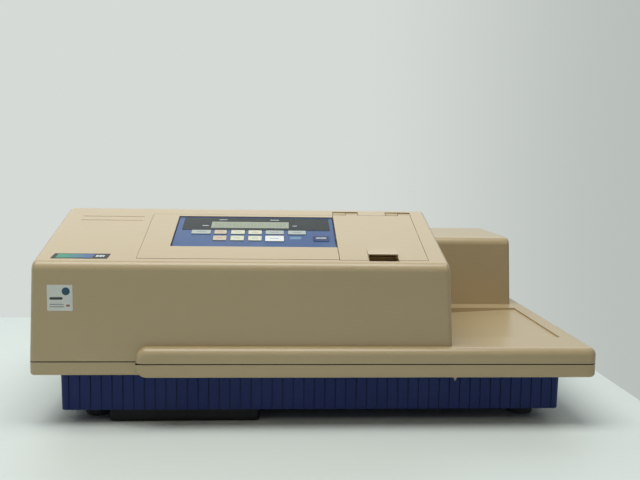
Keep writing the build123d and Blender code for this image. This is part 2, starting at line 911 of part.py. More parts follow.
holder_bottom = well_floor - holder_depth
holder_flange = 4.0
flange_thickness = 3.0
beam_radius = 3.5
beam_z = well_floor - 18.0
with BuildPart() as cuvette_holder:
    block(
        (holder_x - holder_side / 2, holder_x + holder_side / 2),
        (holder_y - holder_side / 2, holder_y + holder_side / 2),
        (holder_bottom, well_floor),
    )
    block(
        (holder_x - holder_side / 2 - holder_flange, holder_x + holder_side / 2 + holder_flange),
        (holder_y - holder_side / 2 - holder_flange, holder_y + holder_side / 2 + holder_flange),
        (well_floor - well_skin - flange_thickness, well_floor - well_skin),
    )
    block(
        (holder_x - cuvette_side / 2, holder_x + cuvette_side / 2),
        (holder_y - cuvette_side / 2, holder_y + cuvette_side / 2),
        (well_floor - cuvette_depth, well_floor + 1),
        mode=Mode.SUBTRACT,
    )
    rod_x(beam_radius, (holder_x - holder_side, holder_x + holder_side), holder_y, beam_z, mode=Mode.SUBTRACT)
finish(cuvette_holder, "cuvette_holder")

badge_clear = 0.15
badge_stand = 0.2
with BuildPart() as badge_plate:
    with BuildSketch(slope_plane.offset(-badge_thickness)):
        with BuildLine():
            Polyline(
                (badge_left + badge_clear, badge_low + badge_clear),
                (badge_left + badge_length - badge_clear, badge_low + badge_clear),
                (badge_left + badge_length + badge_lean - badge_clear, badge_low + badge_rise - badge_clear),
                (badge_left + badge_lean + badge_clear, badge_low + badge_rise - badge_clear),
                close=True,
            )
        make_face()
    extrude(amount=badge_thickness + badge_stand)
finish(badge_plate, "badge_plate")

# Chassis plate over the pan floor; everything inside the cover stands on it
chassis_sheet = 2.0
chassis_clear = 4.0
chassis_top = pan_floor + chassis_sheet
cable_hole = 30.0
cable_places = (75.0, 300.0, 470.0)
cable_row = depth - 51.0
chassis_span_x = spread_x(tub_left + chassis_clear, tub_right - chassis_clear)
chassis_span_y = spread_y(tub_front + chassis_clear, tub_back - chassis_clear)
with BuildPart() as chassis_plate:
    block(chassis_span_x, chassis_span_y, (pan_floor, chassis_top))
    for place in cable_places:
        with BuildSketch(Plane.XY.offset(pan_floor - 1)):
            with Locations((at_x(place), at_y(cable_row))):
                SlotOverall(2 * cable_hole, cable_hole)
        extrude(amount=chassis_sheet + 2, mode=Mode.SUBTRACT)
finish(chassis_plate, "chassis_plate")

# Drawer tray with the microplate pocket and its light window
tray_top = tray_bottom + tray_thickness
pocket_span_x = spread_x(pocket_left, pocket_left + plate_width + 2 * plate_clear)
pocket_middle_y = (tray_front + tray_back) / 2
pocket_half_y = plate_length / 2 + plate_clear
pocket_span_y = spread_y(pocket_middle_y - pocket_half_y, pocket_middle_y + pocket_half_y)
pocket_floor = tray_top - pocket_depth
pusher_offset = 9.0
pusher_x = at_x(pocket_left - pusher_offset)
pusher_y = at_y(tray_front + 44.0)
pusher_length = 38.0
pusher_width = 5.0
pusher_pin_radius = 1.5
toe_size = (9.0, 8.0)
toe_offset = 1.5
toe_inset = 6.0
notch_clear = 3.5
relief_offset = 34.0
relief_size = (44.0, 62.0)
relief_radius = 6.0
tray_radius = 3.0
with BuildPart() as plate_drawer:
    block(spread_x(tray_left, fascia_inner), spread_y(tray_front, tray_back), (tray_bottom, tray_top))
    block(pocket_span_x, pocket_span_y, (pocket_floor, tray_top + 1), mode=Mode.SUBTRACT)
    block(
        (pocket_span_x[0] + pocket_ledge, pocket_span_x[1] - pocket_ledge),
        (pocket_span_y[0] + pocket_ledge, pocket_span_y[1] - pocket_ledge),
        (tray_bottom - 1, tray_top),
        mode=Mode.SUBTRACT,
    )
    with BuildSketch(Plane.XY.offset(tray_bottom - 1)):
        with Locations((at_x(tray_left + relief_offset), at_y(pocket_middle_y))):
            RectangleRounded(*relief_size, relief_radius)
    extrude(amount=tray_thickness + 2, mode=Mode.SUBTRACT)
    block(
        (pusher_x - pusher_width / 2 - notch_clear, pocket_span_x[0] + 1),
        (pusher_y - pusher_width / 2 - 1, pusher_y + pusher_length + 2),
        (pocket_floor, tray_top + 1),
        mode=Mode.SUBTRACT,
    )
    rod_z(pusher_pin_radius, (pocket_floor - 1, tray_top - 0.2), pusher_x, pusher_y)
    outer_corners = [e for e in plate_drawer.edges().filter_by(Axis.Z) if e.center().X < at_x(tray_left) + 1]
    fillet(outer_corners, radius=tray_radius)
finish(plate_drawer, "plate_drawer")

with BuildPart() as plate_pusher:
    with BuildSketch(Plane.XY.offset(pocket_floor + fit_gap)):
        with Locations((pusher_x, pusher_y)):
            Circle(pusher_width / 2)
        with Locations((pusher_x, pusher_y + pusher_length / 2)):
            Rectangle(pusher_width, pusher_length)
        with Locations((pusher_x + pusher_width / 2 + toe_offset, pusher_y + pusher_length - toe_inset)):
            Rectangle(*toe_size)
        with Locations((pusher_x, pusher_y)):
            Circle(pusher_pin_radius + running_gap, mode=Mode.SUBTRACT)
    extrude(amount=pocket_depth - 1.0)
finish(plate_pusher, "plate_pusher")

# Fascia that closes the doorway, its outer face on the drafted wall
with BuildPart() as drawer_fascia:
    with BuildSketch(Plane.XZ.offset(-at_y(fascia_back))):
        with BuildLine():
            Polyline(
                (at_x(fascia_inner), fascia_low),
                (right_face(fascia_low), fascia_low),
                (right_face(fascia_high), fascia_high),
                (at_x(fascia_inner), fascia_high),
                close=True,
            )
        make_face()
    extrude(amount=fascia_back - fascia_front)
    outer_face = drawer_fascia.faces().sort_by(Axis.X)[-1]
    chamfer(outer_face.edges(), length=0.5)
finish(drawer_fascia, "drawer_fascia")

# Bushes under the tray and the two rails that they run on
bush_top = tray_bottom
bush_web = 1.8
bush_bottom = rail_z - rail_radius - bush_web
with BuildPart() as drawer_bushes:
    for start in bush_starts:
        for rail_y in rail_places:
            block(
                spread_x(start, start + bush_length),
                spread_y(rail_y - bush_width / 2, rail_y + bush_width / 2),
                (bush_bottom, bush_top),
            )
            rod_x(
                rail_radius + running_gap,
                spread_x(start - 1, start + bush_length + 1),
                at_y(rail_y),
                rail_z,
                mode=Mode.SUBTRACT,
            )
finish(drawer_bushes, "drawer_bushes")

rail_start = tray_left - 8.0
rail_end = fascia_inner - 1.3
bracket_thickness = 6.0
bracket_foot = 5.0
with BuildPart() as drawer_rails:
    for rail_y in rail_places:
        rod_x(rail_radius, spread_x(rail_start, rail_end), at_y(rail_y), rail_z)
finish(drawer_rails, "drawer_rails")

with BuildPart() as rail_brackets:
    for start in (rail_start, rail_end - bracket_thickness):
        block(
            spread_x(start, start + bracket_thickness),
            spread_y(rail_places[0] - bush_width, rail_places[1] + bush_width),
            (chassis_top, tray_bottom - 1.0),
        )
        block(
            spread_x(start - 1, start + bracket_thickness + 1),
            spread_y(rail_places[0] + bush_width, rail_places[1] - bush_width),
            (chassis_top + bracket_foot, tray_bottom),
            mode=Mode.SUBTRACT,
        )
        for rail_y in rail_places:
            rail_hole = spread_x(start - 1, start + bracket_thickness + 1)
            rod_x(rail_radius, rail_hole, at_y(rail_y), rail_z, mode=Mode.SUBTRACT)
finish(rail_brackets, "rail_brackets")

# Rack along the tray's rear edge and the pinion that drives it
addendum = module
dedendum = 1.25 * module
tooth_pitch = pi * module
pitch_radius = module * pinion_teeth / 2
base_radius = pitch_radius * cos(radians(pressure_angle))
pitch_line = tray_back + rack_body + dedendum
pinion_y = pitch_line + pitch_radius
rack_low = tray_bottom + 1.0
rack_high = tray_top - 1.0
teeth_left = int((drawer_travel + 10) / tooth_pitch) + 1
teeth_right = 4
pinion_over = 0.4


def involute(angle):
    """Involute function of a pressure angle in radians."""
    return tan(angle) - angle


def tooth_angle(radius):
    """Half the angle that a pinion tooth spans at a radius, in radians."""
    half_pitch = pi / (2 * pinion_teeth) - backlash / (4 * pitch_radius)
    swing = involute(radians(pressure_angle))
    if radius <= base_radius:
        return half_pitch + swing
    return half_pitch + swing - involute(acos(base_radius / radius))


with BuildPart() as drawer_rack:
    tip = tooth_pitch / 4 - backlash / 4 - addendum * tan(radians(pressure_angle))
    root = tooth_pitch / 4 - backlash / 4 + dedendum * tan(radians(pressure_angle))
    rack_start = at_x(pinion_x) - (teeth_left + 0.5) * tooth_pitch
    rack_end = at_x(pinion_x) + (teeth_right + 0.5) * tooth_pitch
    with BuildSketch(Plane.XY.offset(rack_low)):
        with BuildLine():
            corners = [(rack_start, at_y(tray_back))]
            for tooth in range(-teeth_left, teeth_right + 1):
                middle = at_x(pinion_x) + tooth * tooth_pitch
                corners += [
                    (middle - root, at_y(pitch_line) - dedendum),
                    (middle - tip, at_y(pitch_line) + addendum),
                    (middle + tip, at_y(pitch_line) + addendum),
                    (middle + root, at_y(pitch_line) - dedendum),
                ]
            corners.append((rack_end, at_y(tray_back)))
            Polyline(*corners, close=True)
        make_face()
    extrude(amount=rack_high - rack_low)
finish(drawer_rack, "drawer_rack")

with BuildPart() as drive_pinion:
    tip_radius = pitch_radius + addendum
    root_radius = pitch_radius - dedendum
    flank = (base_radius, (base_radius + pitch_radius) / 2 + 0.1, pitch_radius + 0.4, tip_radius)
    with BuildSketch(Plane.XY.offset(rack_low - pinion_over)):
        with BuildLine():
            corners = []
            for tooth in range(pinion_teeth):
                middle = -pi / 2 + (tooth + 0.5) * 2 * pi / pinion_teeth
                rising = [(root_radius, -tooth_angle(base_radius))]
                rising += [(radius, -tooth_angle(radius)) for radius in flank]
                falling = [(radius, -angle) for radius, angle in reversed(rising)]
                corners += [
                    (
                        at_x(pinion_x) + radius * cos(middle + angle),
                        at_y(pinion_y) + radius * sin(middle + angle),
                    )
                    for radius, angle in rising + falling
                ]
            Polyline(*corners, close=True)
        make_face()
        with Locations((at_x(pinion_x), at_y(pinion_y))):
            Circle(shaft_radius, mode=Mode.SUBTRACT)
    extrude(amount=rack_high - rack_low + 2 * pinion_over)
finish(drive_pinion, "drive_pinion")

motor_bottom = chassis_top
motor_chamfer = 4.0
pilot_radius = 11.0
pilot_height = 1.5
shaft_sink = 3.5
motor_top = motor_bottom + motor_height
with BuildPart() as motor_shaft:
    rod_z(shaft_radius, (motor_bottom + shaft_sink, rack_high + pinion_over), at_x(pinion_x), at_y(pinion_y))
finish(motor_shaft, "motor_shaft")

with BuildPart() as drawer_motor:
    with BuildSketch(Plane.XY.offset(motor_bottom)):
        with Locations((at_x(pinion_x), at_y(pinion_y))):
            Rectangle(motor_side, motor_side)
        chamfer(vertices(), length=motor_chamfer)
    extrude(amount=motor_height)
    rod_z(pilot_radius, (motor_top, motor_top + pilot_height), at_x(pinion_x), at_y(pinion_y))
    rod_z(
        shaft_radius + running_gap,
        (motor_bottom + shaft_sink - 0.5, motor_top + 2.0),
        at_x(pinion_x),
        at_y(pinion_y),
        mode=Mode.SUBTRACT,
    )
finish(drawer_motor, "drawer_motor")

# Optics bridge over the drawer: two legs, a beam and a row of lenses
bridge_left = fascia_inner - 31.3
bridge_width = 22.0
bridge_bottom = fascia_high - 2.0
bridge_height = 13.0
leg_front = 44.0
leg_back = 238.0
leg_width = 8.0
well_pitch = 9.0
lens_count = 12
lens_radius = 3.0
lens_thickness = 3.0
bridge_x = at_x(bridge_left + bridge_width / 2)
with BuildPart() as optics_bridge:
    block(
        spread_x(bridge_left, bridge_left + bridge_width),
        spread_y(leg_front, leg_back + leg_width),
        (bridge_bottom, bridge_bottom + bridge_height),
    )
    for start in (leg_front, leg_back):
        block(
            spread_x(bridge_left, bridge_left + bridge_width),
            spread_y(start, start + leg_width),
            (chassis_top, bridge_bottom + 1),
        )
    with BuildSketch(Plane.XY.offset(bridge_bottom - 1)):
        with Locations((bridge_x, at_y(pocket_middle_y))):
            with GridLocations(1, well_pitch, 1, lens_count):
                Circle(lens_radius)
    extrude(amount=bridge_height + 2, mode=Mode.SUBTRACT)
finish(optics_bridge, "optics_bridge")

with BuildPart() as bridge_lenses:
    with BuildSketch(Plane.XY.offset(bridge_bottom)):
        with Locations((bridge_x, at_y(pocket_middle_y))):
            with GridLocations(1, well_pitch, 1, lens_count):
                Circle(lens_radius)
    extrude(amount=lens_thickness)
finish(bridge_lenses, "bridge_lenses")

detector_half = 58.0
detector_top = rail_z - rail_radius - 3.0
detector_well = 3.0
with BuildPart() as detector_bar:
    block(
        spread_x(bridge_left, bridge_left + bridge_width),
        spread_y(pocket_middle_y - detector_half, pocket_middle_y + detector_half),
        (chassis_top, detector_top),
    )
    with BuildSketch(Plane.XY.offset(detector_top - detector_well)):
        with Locations((bridge_x, at_y(pocket_middle_y))):
            with GridLocations(1, well_pitch, 1, lens_count):
                Circle(lens_radius)
    extrude(amount=detector_well + 2, mode=Mode.SUBTRACT)
finish(detector_bar, "detector_bar")

# Monochromator: open case, its cover and the grating on its turning mount
case_left = 60.0
case_right = 200.0
case_back = depth - 131.0
case_front = case_back - 160.0
case_height = 70.0
case_wall = 3.0
case_top = chassis_top + case_height
port_radius = 5.0
port_z = chassis_top + 40.0
exit_y = at_y(case_back - 30.0)
entry_x = at_x(case_left + 30.0)
grating_x = at_x(case_left + 50.0)
grating_y = at_y(case_back - 80.0)
grating_thickness = 5.0
pivot_radius = 4.0
boss_outer = 9.0
boss_foot = chassis_top + 5.0
boss_top = chassis_top + 20.0
table_radius = 14.0
table_top = chassis_top + 26.0
post_height = 32.0
post_half = 16.0
post_face = 6.0
with BuildPart() as monochromator_case:
    block(spread_x(case_left, case_right), spread_y(case_front, case_back), (chassis_top, case_top))
    block(
        spread_x(case_left + case_wall, case_right - case_wall),
        spread_y(case_front + case_wall, case_back - case_wall),
        (chassis_top + case_wall, case_top + 1),
        mode=Mode.SUBTRACT,
    )
    rod_z(boss_outer, (chassis_top + 1, boss_top), grating_x, grating_y)
    rod_z(pivot_radius + running_gap, (boss_foot, boss_top + 1), grating_x, grating_y, mode=Mode.SUBTRACT)
    port_reach = 2 * case_wall
    exit_span = spread_x(case_right - port_reach, case_right + port_reach)
    entry_span = spread_y(case_back - port_reach, case_back + port_reach)
    rod_x(port_radius, exit_span, exit_y, port_z, mode=Mode.SUBTRACT)
    rod_y(port_radius, entry_span, entry_x, port_z, mode=Mode.SUBTRACT)
finish(monochromator_case, "monochromator_case")

case_lid = 2.0
with BuildPart() as monochromator_cover:
    block(
        spread_x(case_left, case_right),
        spread_y(case_front, case_back),
        (case_top, case_top + case_lid),
    )
finish(monochromator_cover, "monochromator_cover")

with BuildPart() as grating_mount:
    rod_z(pivot_radius, (boss_foot + fit_gap, table_top), grating_x, grating_y)
    rod_z(table_radius, (boss_top + fit_gap, table_top), grating_x, grating_y)
    block(
        (grating_x - table_radius, grating_x - post_face),
        (grating_y - post_half, grating_y + post_half),
        (table_top, table_top + post_height),
    )
finish(grating_mount, "grating_mount")

with BuildPart() as grating:
    block(
        (grating_x - post_face, grating_x - post_face + grating_thickness),
        (grating_y - post_half + 1, grating_y + post_half - 1),
        (table_top + 1, table_top + post_height - 1),
    )
finish(grating, "grating")

# Flash lamp housing behind the monochromator, finned
lamp_width = 55.0
lamp_depth = 70.0
lamp_height = 62.0
lamp_gap = 4.0
fin_count = 7
fin_pitch = 8.5
fin_space = 4.0
fin_depth = 9.0
lamp_span_x = (entry_x - lamp_width / 2, entry_x + lamp_width / 2)
lamp_span_y = spread_y(case_back + lamp_gap, case_back + lamp_gap + lamp_depth)
lamp_top = chassis_top + lamp_height
with BuildPart() as lamp_housing:
    block(lamp_span_x, lamp_span_y, (chassis_top, lamp_top))
    rod_y(port_radius, (lamp_span_y[0] - lamp_gap, lamp_span_y[0] + 1), entry_x, port_z)
    with BuildSketch(Plane.YZ.offset(lamp_span_x[0] - 1)):
        with Locations((sum(lamp_span_y) / 2, lamp_top)):
            with GridLocations(fin_pitch, 1, fin_count, 1):
                Rectangle(fin_space, 2 * fin_depth)
    extrude(amount=lamp_width + 2, mode=Mode.SUBTRACT)
finish(lamp_housing, "lamp_housing")

# Light guide from the monochromator to the top of the bridge
guide_radius = 3.5
guide_turn = 16.0
guide_start = at_x(case_right - case_wall)
guide_rise_x = at_x(case_right) + 40.0
bridge_top = bridge_bottom + bridge_height
guide_top = bridge_top + 20.0
with BuildPart() as light_guide:
    with BuildLine():
        FilletPolyline(
            (guide_start, exit_y, port_z),
            (guide_rise_x, exit_y, port_z),
            (guide_rise_x, exit_y, guide_top),
            (bridge_x, exit_y, guide_top),
            (bridge_x, exit_y, bridge_top),
            radius=guide_turn,
        )
    with BuildSketch(Plane(origin=(guide_start, exit_y, port_z), z_dir=(1, 0, 0))):
        Circle(guide_radius)
    sweep()
finish(light_guide, "light_guide")

# Power supply and main board in the tub
tub_floor = foot_height + tub_wall
supply_span_x = spread_x(tub_left + 24.0, tub_left + 184.0)
supply_span_y = spread_y(tub_back - 136.0, tub_back - 21.0)
supply_top = tub_floor + 34.0
supply_slots = 9
supply_pitch = 12.0
supply_slot = (80.0, 5.0)
supply_slot_depth = 14.0
with BuildPart() as power_supply:
    block(supply_span_x, supply_span_y, (tub_floor, supply_top))
    with BuildSketch(Plane.XY.offset(supply_top)):
        with Locations((sum(supply_span_x) / 2, sum(supply_span_y) / 2)):
            with GridLocations(supply_pitch, 1, supply_slots, 1):
                SlotOverall(*supply_slot, rotation=90)
    extrude(amount=-supply_slot_depth, mode=Mode.SUBTRACT)
finish(power_supply, "power_supply")

board_span_x = spread_x(tub_right - 310.5, tub_right - 50.5)
board_span_y = spread_y(tub_front + 35.0, tub_front + 125.0)
standoff_height = 6.0
board_z = tub_floor + standoff_height
post_inset = 5.0
standoff_radius = 3.0
chip_height = 3.4
chips = ((50, 40, 28), (110, 30, 20), (170, 50, 24), (220, 30, 16))
with BuildPart() as main_board:
    block(board_span_x, board_span_y, (board_z, board_z + board_thickness))
    for x in (board_span_x[0] + post_inset, board_span_x[1] - post_inset):
        for y in (board_span_y[0] + post_inset, board_span_y[1] - post_inset):
            rod_z(standoff_radius, (tub_floor, board_z), x, y)
    for x, y, side in chips:
        block(
            (board_span_x[0] + x, board_span_x[0] + x + side),
            (board_span_y[0] + y, board_span_y[0] + y + side),
            (board_z + board_thickness, board_z + board_thickness + chip_height),
        )
finish(main_board, "main_board")

# Rear panel with its inlet, switch, ports and fan
panel_sheet = 2.0
sheet_lap = 5.0
rear_inner = back - wall
rear_outer = rear_inner - panel_sheet
inlet_x = at_x(90.0)
switch_x = at_x(130.0)
serial_x = at_x(180.0)
printer_x = at_x(185.0)
fan_x = at_x(278.0)
port_row = 16.0
rear_z = (panel_cut_low + panel_cut_high) / 2
inlet_size = (27.0, 47.0)
switch_size = (13.0, 19.4)
serial_size = (31.0, 12.6)
printer_size = (53.0, 12.6)
fan_side = 60.0
fan_bore = 28.0
fan_depth = 15.0
fan_screw_pitch = 50.0


def rear_hole(x, z, size, depth_in, mode=Mode.SUBTRACT):
    """Rectangular hole or block square to the rear panel."""
    block(
        (x - size[0] / 2, x + size[0] / 2),
        (rear_outer - depth_in, rear_inner + 1),
        (z - size[1] / 2, z + size[1] / 2),
        mode=mode,
    )


with BuildPart() as rear_panel:
    block(
        spread_x(panel_cut_left - sheet_lap, panel_cut_right + sheet_lap),
        (rear_outer, rear_inner),
        (panel_cut_low - sheet_lap, panel_cut_high + sheet_lap),
    )
    rear_hole(inlet_x, rear_z, inlet_size, 1)
    rear_hole(switch_x, rear_z, switch_size, 1)
    rear_hole(serial_x, rear_z + port_row, serial_size, 1)
    rear_hole(printer_x, rear_z - port_row, printer_size, 1)
    rod_y(fan_bore, (rear_outer - 1, rear_inner + 1), fan_x, rear_z, mode=Mode.SUBTRACT)
finish(rear_panel, "rear_panel")

flange = 2.0
inlet_depth = 22.0
socket_size = (24.0, 16.0)
socket_rise = 6.0
socket_chamfer = 4.0
socket_depth = 18.0
inlet_pins = ((-7.0, 4.0), (7.0, 4.0), (0.0, 8.0))
with BuildPart() as power_inlet:
    block(
        (inlet_x - inlet_size[0] / 2 - flange, inlet_x + inlet_size[0] / 2 + flange),
        (rear_inner, rear_inner + flange),
        (rear_z - inlet_size[1] / 2 - flange, rear_z + inlet_size[1] / 2 + flange),
    )
    block(
        (inlet_x - inlet_size[0] / 2, inlet_x + inlet_size[0] / 2),
        (rear_outer - inlet_depth, rear_inner + 1),
        (rear_z - inlet_size[1] / 2, rear_z + inlet_size[1] / 2),
    )
    with BuildSketch(Plane.XZ.offset(-(rear_inner + 3))):
        with Locations((inlet_x, rear_z + socket_rise)):
            Rectangle(*socket_size)
        chamfer(vertices().group_by(Axis.Y)[-1], length=socket_chamfer)
    extrude(amount=socket_depth, mode=Mode.SUBTRACT)
    for pin_x, pin_z in inlet_pins:
        block(
            (inlet_x + pin_x - 1, inlet_x + pin_x + 1),
            (rear_inner - socket_depth + flange, rear_inner - flange),
            (rear_z + pin_z - 2, rear_z + pin_z + 2),
        )
finish(power_inlet, "power_inlet")

switch_bezel = 2.5
switch_depth = 16.0
switch_well = 8.0
stub_radius = 1.2
rocker_pivot_y = rear_inner - 2.0
with BuildPart() as switch_frame:
    block(
        (switch_x - switch_size[0] / 2 - flange, switch_x + switch_size[0] / 2 + flange),
        (rear_inner, rear_inner + switch_bezel),
        (rear_z - switch_size[1] / 2 - flange, rear_z + switch_size[1] / 2 + flange),
    )
    block(
        (switch_x - switch_size[0] / 2, switch_x + switch_size[0] / 2),
        (rear_outer - switch_depth, rear_inner + 1),
        (rear_z - switch_size[1] / 2, rear_z + switch_size[1] / 2),
    )
    block(
        (switch_x - switch_size[0] / 2 + 1, switch_x + switch_size[0] / 2 - 1),
        (rear_outer - switch_well, rear_inner + switch_bezel + 1),
        (rear_z - switch_size[1] / 2 + 0.8, rear_z + switch_size[1] / 2 - 0.8),
        mode=Mode.SUBTRACT,
    )
    stub_span = (switch_x - switch_size[0] / 2 + 0.3, switch_x + switch_size[0] / 2 - 0.3)
    rod_x(stub_radius + running_gap, stub_span, rocker_pivot_y, rear_z, mode=Mode.SUBTRACT)
finish(switch_frame, "switch_frame")

rocker_half = switch_size[1] / 2 - 1.6
with BuildPart() as power_rocker:
    with BuildSketch(Plane.YZ.offset(switch_x - switch_size[0] / 2 + 1.3)):
        with BuildLine():
            Polyline(
                (rocker_pivot_y - 3.0, rear_z),
                (rocker_pivot_y - 1.0, rear_z + rocker_half),
                (rocker_pivot_y + 4.8, rear_z + rocker_half - 0.6),
                (rocker_pivot_y + 2.8, rear_z),
                (rocker_pivot_y + 2.3, rear_z - rocker_half + 0.6),
                (rocker_pivot_y - 3.4, rear_z - rocker_half),
                close=True,
            )
        make_face()
    extrude(amount=switch_size[0] - 2.6)
    rod_x(stub_radius, (stub_span[0] + 0.1, stub_span[1] - 0.1), rocker_pivot_y, rear_z)
finish(power_rocker, "power_rocker")

port_stand = 2.6
port_body = 10.0
port_ear = 7.0
port_rim = 2.5
port_clear = 0.2
for label, x, z, size in (
    ("serial_port", serial_x, rear_z + port_row, serial_size),
    ("printer_port", printer_x, rear_z - port_row, printer_size),
):
    with BuildPart() as port:
        block(
            (x - size[0] / 2 + port_clear, x + size[0] / 2 - port_clear),
            (rear_outer - port_body, rear_inner + port_stand),
            (z - size[1] / 2 + port_clear, z + size[1] / 2 - port_clear),
        )
        block(
            (x - size[0] / 2 + port_ear, x + size[0] / 2 - port_ear),
            (rear_inner - 3, rear_inner + port_stand + 1),
            (z - size[1] / 2 + port_rim, z + size[1] / 2 - port_rim),
            mode=Mode.SUBTRACT,
        )
    finish(port, label)

fan_front = rear_outer - fan_depth
hub_radius = 12.0
fan_corner = 4.0
spoke_width = 4.0
spoke_thickness = 2.0
with BuildPart() as fan_frame:
    with BuildSketch(Plane.XZ.offset(-rear_outer)):
        with Locations((fan_x, rear_z)):
            RectangleRounded(fan_side, fan_side, fan_corner)
            Circle(fan_bore, mode=Mode.SUBTRACT)
    extrude(amount=fan_depth)
    rod_y(hub_radius, (fan_front, fan_front + spoke_thickness), fan_x, rear_z)
    for turn in (0, 90):
        with BuildSketch(Plane.XZ.offset(-fan_front - spoke_thickness)):
            with Locations(Location((fan_x, rear_z, 0), turn)):
                Rectangle(2 * fan_bore + 1, spoke_width)
        extrude(amount=spoke_thickness)
    rod_y(2.0, (fan_front, rear_outer - 3), fan_x, rear_z)
finish(fan_frame, "fan_frame")

blade_count = 7
with BuildPart() as fan_rotor:
    rod_y(hub_radius, (fan_front + 2.5, rear_outer - 1.5), fan_x, rear_z)
    for blade in range(blade_count):
        with BuildSketch(Plane.XZ.offset(-(rear_outer - 2.5))):
            with Locations(Location((fan_x, rear_z, 0), blade * 360 / blade_count)):
                with Locations((hub_radius + 6.5, 0)):
                    Rectangle(16.0, 2.0, rotation=12)
        extrude(amount=fan_depth - 6)
    rod_y(2.0 + running_gap, (fan_front + 1, rear_outer - 2.5), fan_x, rear_z, mode=Mode.SUBTRACT)
finish(fan_rotor, "fan_rotor")

ring_width = 1.6
guard_rings = (26.0, 20.0, 14.0, 8.0)
guard_thickness = 1.6
with BuildPart() as fan_guard:
    with BuildSketch(Plane.XZ.offset(-rear_inner - guard_thickness)):
        with Locations((fan_x, rear_z)):
            for radius in guard_rings:
                Circle(radius + ring_width / 2)
                Circle(radius - ring_width / 2, mode=Mode.SUBTRACT)
        for turn in (45, 135):
            with Locations(Location((fan_x, rear_z, 0), turn)):
                SlotOverall(fan_screw_pitch * 2**0.5 + 7, 3.0)
    extrude(amount=guard_thickness)
finish(fan_guard, "fan_guard")
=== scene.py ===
"""Looks of a bench microplate reader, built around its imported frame."""

import json
import logging
from dataclasses import dataclass, field
from enum import Enum
from math import atan2, cos, pi, radians, sin
from typing import Any, ClassVar, Sequence

import bmesh
import bpy
from mathutils import Matrix, Vector

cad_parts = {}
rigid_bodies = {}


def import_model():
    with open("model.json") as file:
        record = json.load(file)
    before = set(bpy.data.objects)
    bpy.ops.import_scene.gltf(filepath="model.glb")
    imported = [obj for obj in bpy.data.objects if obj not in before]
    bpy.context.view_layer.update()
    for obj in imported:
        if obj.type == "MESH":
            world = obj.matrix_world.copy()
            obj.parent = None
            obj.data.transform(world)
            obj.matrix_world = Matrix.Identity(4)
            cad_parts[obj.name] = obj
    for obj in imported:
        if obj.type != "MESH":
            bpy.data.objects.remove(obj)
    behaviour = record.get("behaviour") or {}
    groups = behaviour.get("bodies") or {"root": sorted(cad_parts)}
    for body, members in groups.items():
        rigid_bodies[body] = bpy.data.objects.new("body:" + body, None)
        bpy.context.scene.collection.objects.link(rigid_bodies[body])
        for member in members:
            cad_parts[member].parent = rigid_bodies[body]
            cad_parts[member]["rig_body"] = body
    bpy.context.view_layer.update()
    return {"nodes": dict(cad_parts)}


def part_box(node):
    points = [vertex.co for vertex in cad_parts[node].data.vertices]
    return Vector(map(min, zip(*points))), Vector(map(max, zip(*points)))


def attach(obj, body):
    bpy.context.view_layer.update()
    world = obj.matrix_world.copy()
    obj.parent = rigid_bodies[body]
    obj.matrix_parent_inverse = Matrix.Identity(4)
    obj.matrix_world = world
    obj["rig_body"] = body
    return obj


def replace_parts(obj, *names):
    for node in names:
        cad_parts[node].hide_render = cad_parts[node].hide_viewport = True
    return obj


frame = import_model()

LOG = logging.getLogger("microplate_reader")
MM = 0.001
READER = "reader"

# The housing's left edge, its upright face and its sloped top, as the CAD has them
HOUSING_SETBACK = 10.5 * MM
LEFT_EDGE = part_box("upper_cover")[0].x
HOUSING_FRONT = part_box("upper_cover")[0].y + HOUSING_SETBACK
SLOPE_FOOT = 168.5 * MM
SLOPE_ANGLE = radians(17.5)
SLOPE_AXES = Matrix.Rotation(SLOPE_ANGLE, 4, "X")

# The gap between cover and pan, and how far over its edges the painted shade of the gap reaches
SHELF_HEIGHT = 84.5 * MM
BAND_HEIGHT = 15.7 * MM
SEAM_GAP = 1.0 * MM
SEAM_EDGE = 0.05 * MM
SEAM_HIGH = SHELF_HEIGHT - BAND_HEIGHT + SEAM_EDGE
SEAM_LOW = SHELF_HEIGHT - BAND_HEIGHT - SEAM_GAP - SEAM_EDGE

Colour = tuple[float, float, float]
Pair = tuple[float, float]
Outline = Sequence[Pair]
Socket = bpy.types.NodeSocket
Tree = bpy.types.NodeTree
Material = bpy.types.Material
Mesh = bpy.types.Mesh
Piece = bpy.types.Object


def linear(colour: Colour) -> tuple[float, float, float, float]:
    """Turn a colour written 0 to 255, as a screen shows it, into linear light.

    Args:
        colour: Red, green and blue from 0 to 255.

    Returns:
        Linear red, green, blue and a full alpha.
    """
    parts = []
    for value in colour:
        share = value / 255
        parts.append(share / 12.92 if share <= 0.04045 else ((share + 0.055) / 1.055) ** 2.4)
    return (parts[0], parts[1], parts[2], 1.0)


def on_slope(across: float, up: float, over: float) -> Vector:
    """Find a place on the sloped top.

    Args:
        across: Millimetres from the housing's left edge.
        up: Millimetres up the slope from its front edge.
        over: Millimetres over the sloped surface.

    Returns:
        The place in the row frame, in metres.
    """
    along, square = up * MM, over * MM
    back = HOUSING_FRONT + along * cos(SLOPE_ANGLE) - square * sin(SLOPE_ANGLE)
    height = SLOPE_FOOT + along * sin(SLOPE_ANGLE) + square * cos(SLOPE_ANGLE)
    return Vector((LEFT_EDGE + across * MM, back, height))


@dataclass(frozen=True)
class SlopeSpan:
    """Where a flat piece lies on the sloped top, in millimetres."""

    left: float
    right: float
    low: float
    high: float
    top: float

    @property
    def middle(self) -> Pair:
        """Middle of the piece, across and up the slope."""
        return (self.left + self.right) / 2, (self.low + self.high) / 2

    @property
    def size(self) -> Pair:
        """Width and length of the piece."""
        return self.right - self.left, self.high - self.low


